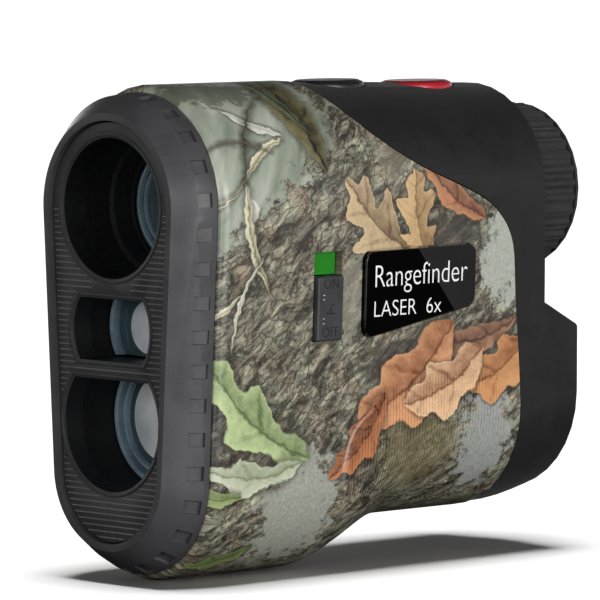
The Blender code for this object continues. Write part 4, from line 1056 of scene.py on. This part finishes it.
def inner_parts(finishes):
    """The parts inside keep their shapes and get their finishes."""
    kept = {
        "anodised": ("optical_chassis", "prism_holder", "display_frame", "lens_spacer"),
        "glass": ("front_prism", "rear_prism", "display_panel", "field_lens"),
        "steel": ("laser_diode", "receiver_detector", "mode_switch", "measure_switch", "slope_slider",
                  "processor_shield", "battery_spring", "cap_contact"),
        "soft": ("slope_base", "battery_tube", "battery_stop"),
        "green_ink": ("slope_mark_on",),
        "red_ink": ("slope_mark_off",),
        "board": ("button_board", "main_board"),
        "sleeve": ("battery", "capacitor"),
        "rubber": ("cap_seal",),
    }
    for finish_name, nodes in kept.items():
        for node in nodes:
            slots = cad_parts[node].data.materials
            slots.clear()
            slots.append(finishes[finish_name])


# ---- Studio ----

def studio():
    """A wide pale floor, an even sky, and soft lights from the camera's side."""
    bpy.ops.object.select_all(action="DESELECT")
    bpy.ops.mesh.primitive_circle_add(vertices=96, radius=9.0, fill_type="NGON",
                                      location=(0, 0, cad_box[0][2] - 0.05 * MM))
    floor = settle(bpy.context.object, "floor")
    material, tree, shader, place = new_material("matt_paper", Specular_IOR_Level=0.2)
    fibres = add(tree, "TexNoise", {"Vector": place, "Scale": 9.0, "Detail": 3.0})["Fac"]
    colour = add(tree, "Mix", {0: fibres, 6: linear("#f2f2f2"), 7: linear("#f7f7f7")},
                 data_type="RGBA")[2]
    wire(tree, shader, Base_Color=colour)
    shader.inputs["Roughness"].default_value = 0.9
    floor.data.materials.append(material)
    floor.visible_diffuse = False
    floor.visible_glossy = False
    world = bpy.data.worlds.new("sky")
    world.use_nodes = True
    tree = world.node_tree
    direction = add(tree, "TexCoord")["Generated"]
    height = add(tree, "SeparateXYZ", {0: direction})["Z"]
    share = add(tree, "Math", {0: height, 1: 0.5, 2: 0.5}, operation="MULTIPLY_ADD")[0]
    shade = add(tree, "ValToRGB", {0: share}, stops=SKY)["Color"]
    tree.links.new(shade, tree.nodes["Background"].inputs["Color"])
    bpy.context.scene.world = world
    lamp = bpy.data.lights.new("floor_lamp", "SUN")
    lamp.energy = FLOOR_LIGHT
    lamp.angle = math.radians(24)
    floor_lamp = bpy.data.objects.new("floor_lamp", lamp)
    bpy.context.scene.collection.objects.link(floor_lamp)
    lit = bpy.data.collections.new("lit_by_floor_lamp")
    lit.objects.link(floor)
    floor_lamp.light_linking.receiver_collection = lit
    unlit = bpy.data.collections.new("not_lit_by_softboxes")
    unlit.objects.link(floor)
    unlit.collection_objects[0].light_linking.link_state = "EXCLUDE"
    for name, azimuth, elevation, distance, size, power in LIGHTS:
        turn, rise = math.radians(azimuth), math.radians(elevation)
        away = Vector((math.sin(turn) * math.cos(rise), -math.cos(turn) * math.cos(rise), math.sin(rise)))
        data = bpy.data.lights.new(name, "AREA")
        data.shape = "RECTANGLE"
        data.size, data.size_y = size
        data.energy = power
        light = bpy.data.objects.new(name, data)
        middle = at(0, 45, -20)
        light.matrix_world = (Matrix.Translation(middle + away * distance)
                              @ away.to_track_quat("Z", "Y").to_matrix().to_4x4())
        light.light_linking.receiver_collection = unlit
        bpy.context.scene.collection.objects.link(light)
    bpy.context.scene.view_settings.view_transform = "Standard"


SKY = ((0.0, "#080808"), (1.0, "#3c3c3c"), (0.499, "#141414"), (0.501, "#ffffff"), (0.53, "#ffffff"),
       (0.62, "#4c4c4c"))
FLOOR_LIGHT = 4.0
LIGHTS = (
    # name, azimuth, elevation, distance (m), size (m), power (W)
    ("side_softbox", 90, 8, 0.8, (0.5, 0.3), 5.2),
    ("front_softbox", 28, 6, 0.8, (0.4, 0.4), 3.0),
    ("far_softbox", 262, 4, 0.8, (0.5, 0.3), 2.6),
)


def build():
    add_camera()
    finishes = {
        # The ridges' finish is made lighter as a painted highlight.
        "satin": satin_abs(), "plate": plate_abs(), "ridge_highlight": ridge_highlight_abs(), "knob": knob_abs(),
        "soft": soft_touch_abs(),
        "rubber": eyepiece_rubber(), "keypad": button_rubber(), "red": red_abs(),
        "acrylic": gloss_acrylic(), "anodised": anodised_aluminium(), "steel": plated_steel(),
        # The blue-grey lens rings (ground) are painted reflections.
        # The pale lens middles (clear) are a painted reflection.
        "glass": coated_glass(), "clear": painted_reflection_glass(), "ground": painted_ring_reflection_glass(),
        "board": solder_mask(), "sleeve": shrink_sleeve(),
        "print": woodland_print(), "white_ink": printed("white_ink", "#f4f4f4"),
        "dark_ink": printed("dark_ink", "#101011"), "green_ink": printed("green_ink", "#0f7a02"),
        "red_ink": printed("red_ink", "#b3180f"),
    }
    front(finishes)
    covers(finishes)
    copied_parts(finishes)
    switch_marks(finishes)
    badge(finishes)
    inner_parts(finishes)
    studio()


build()
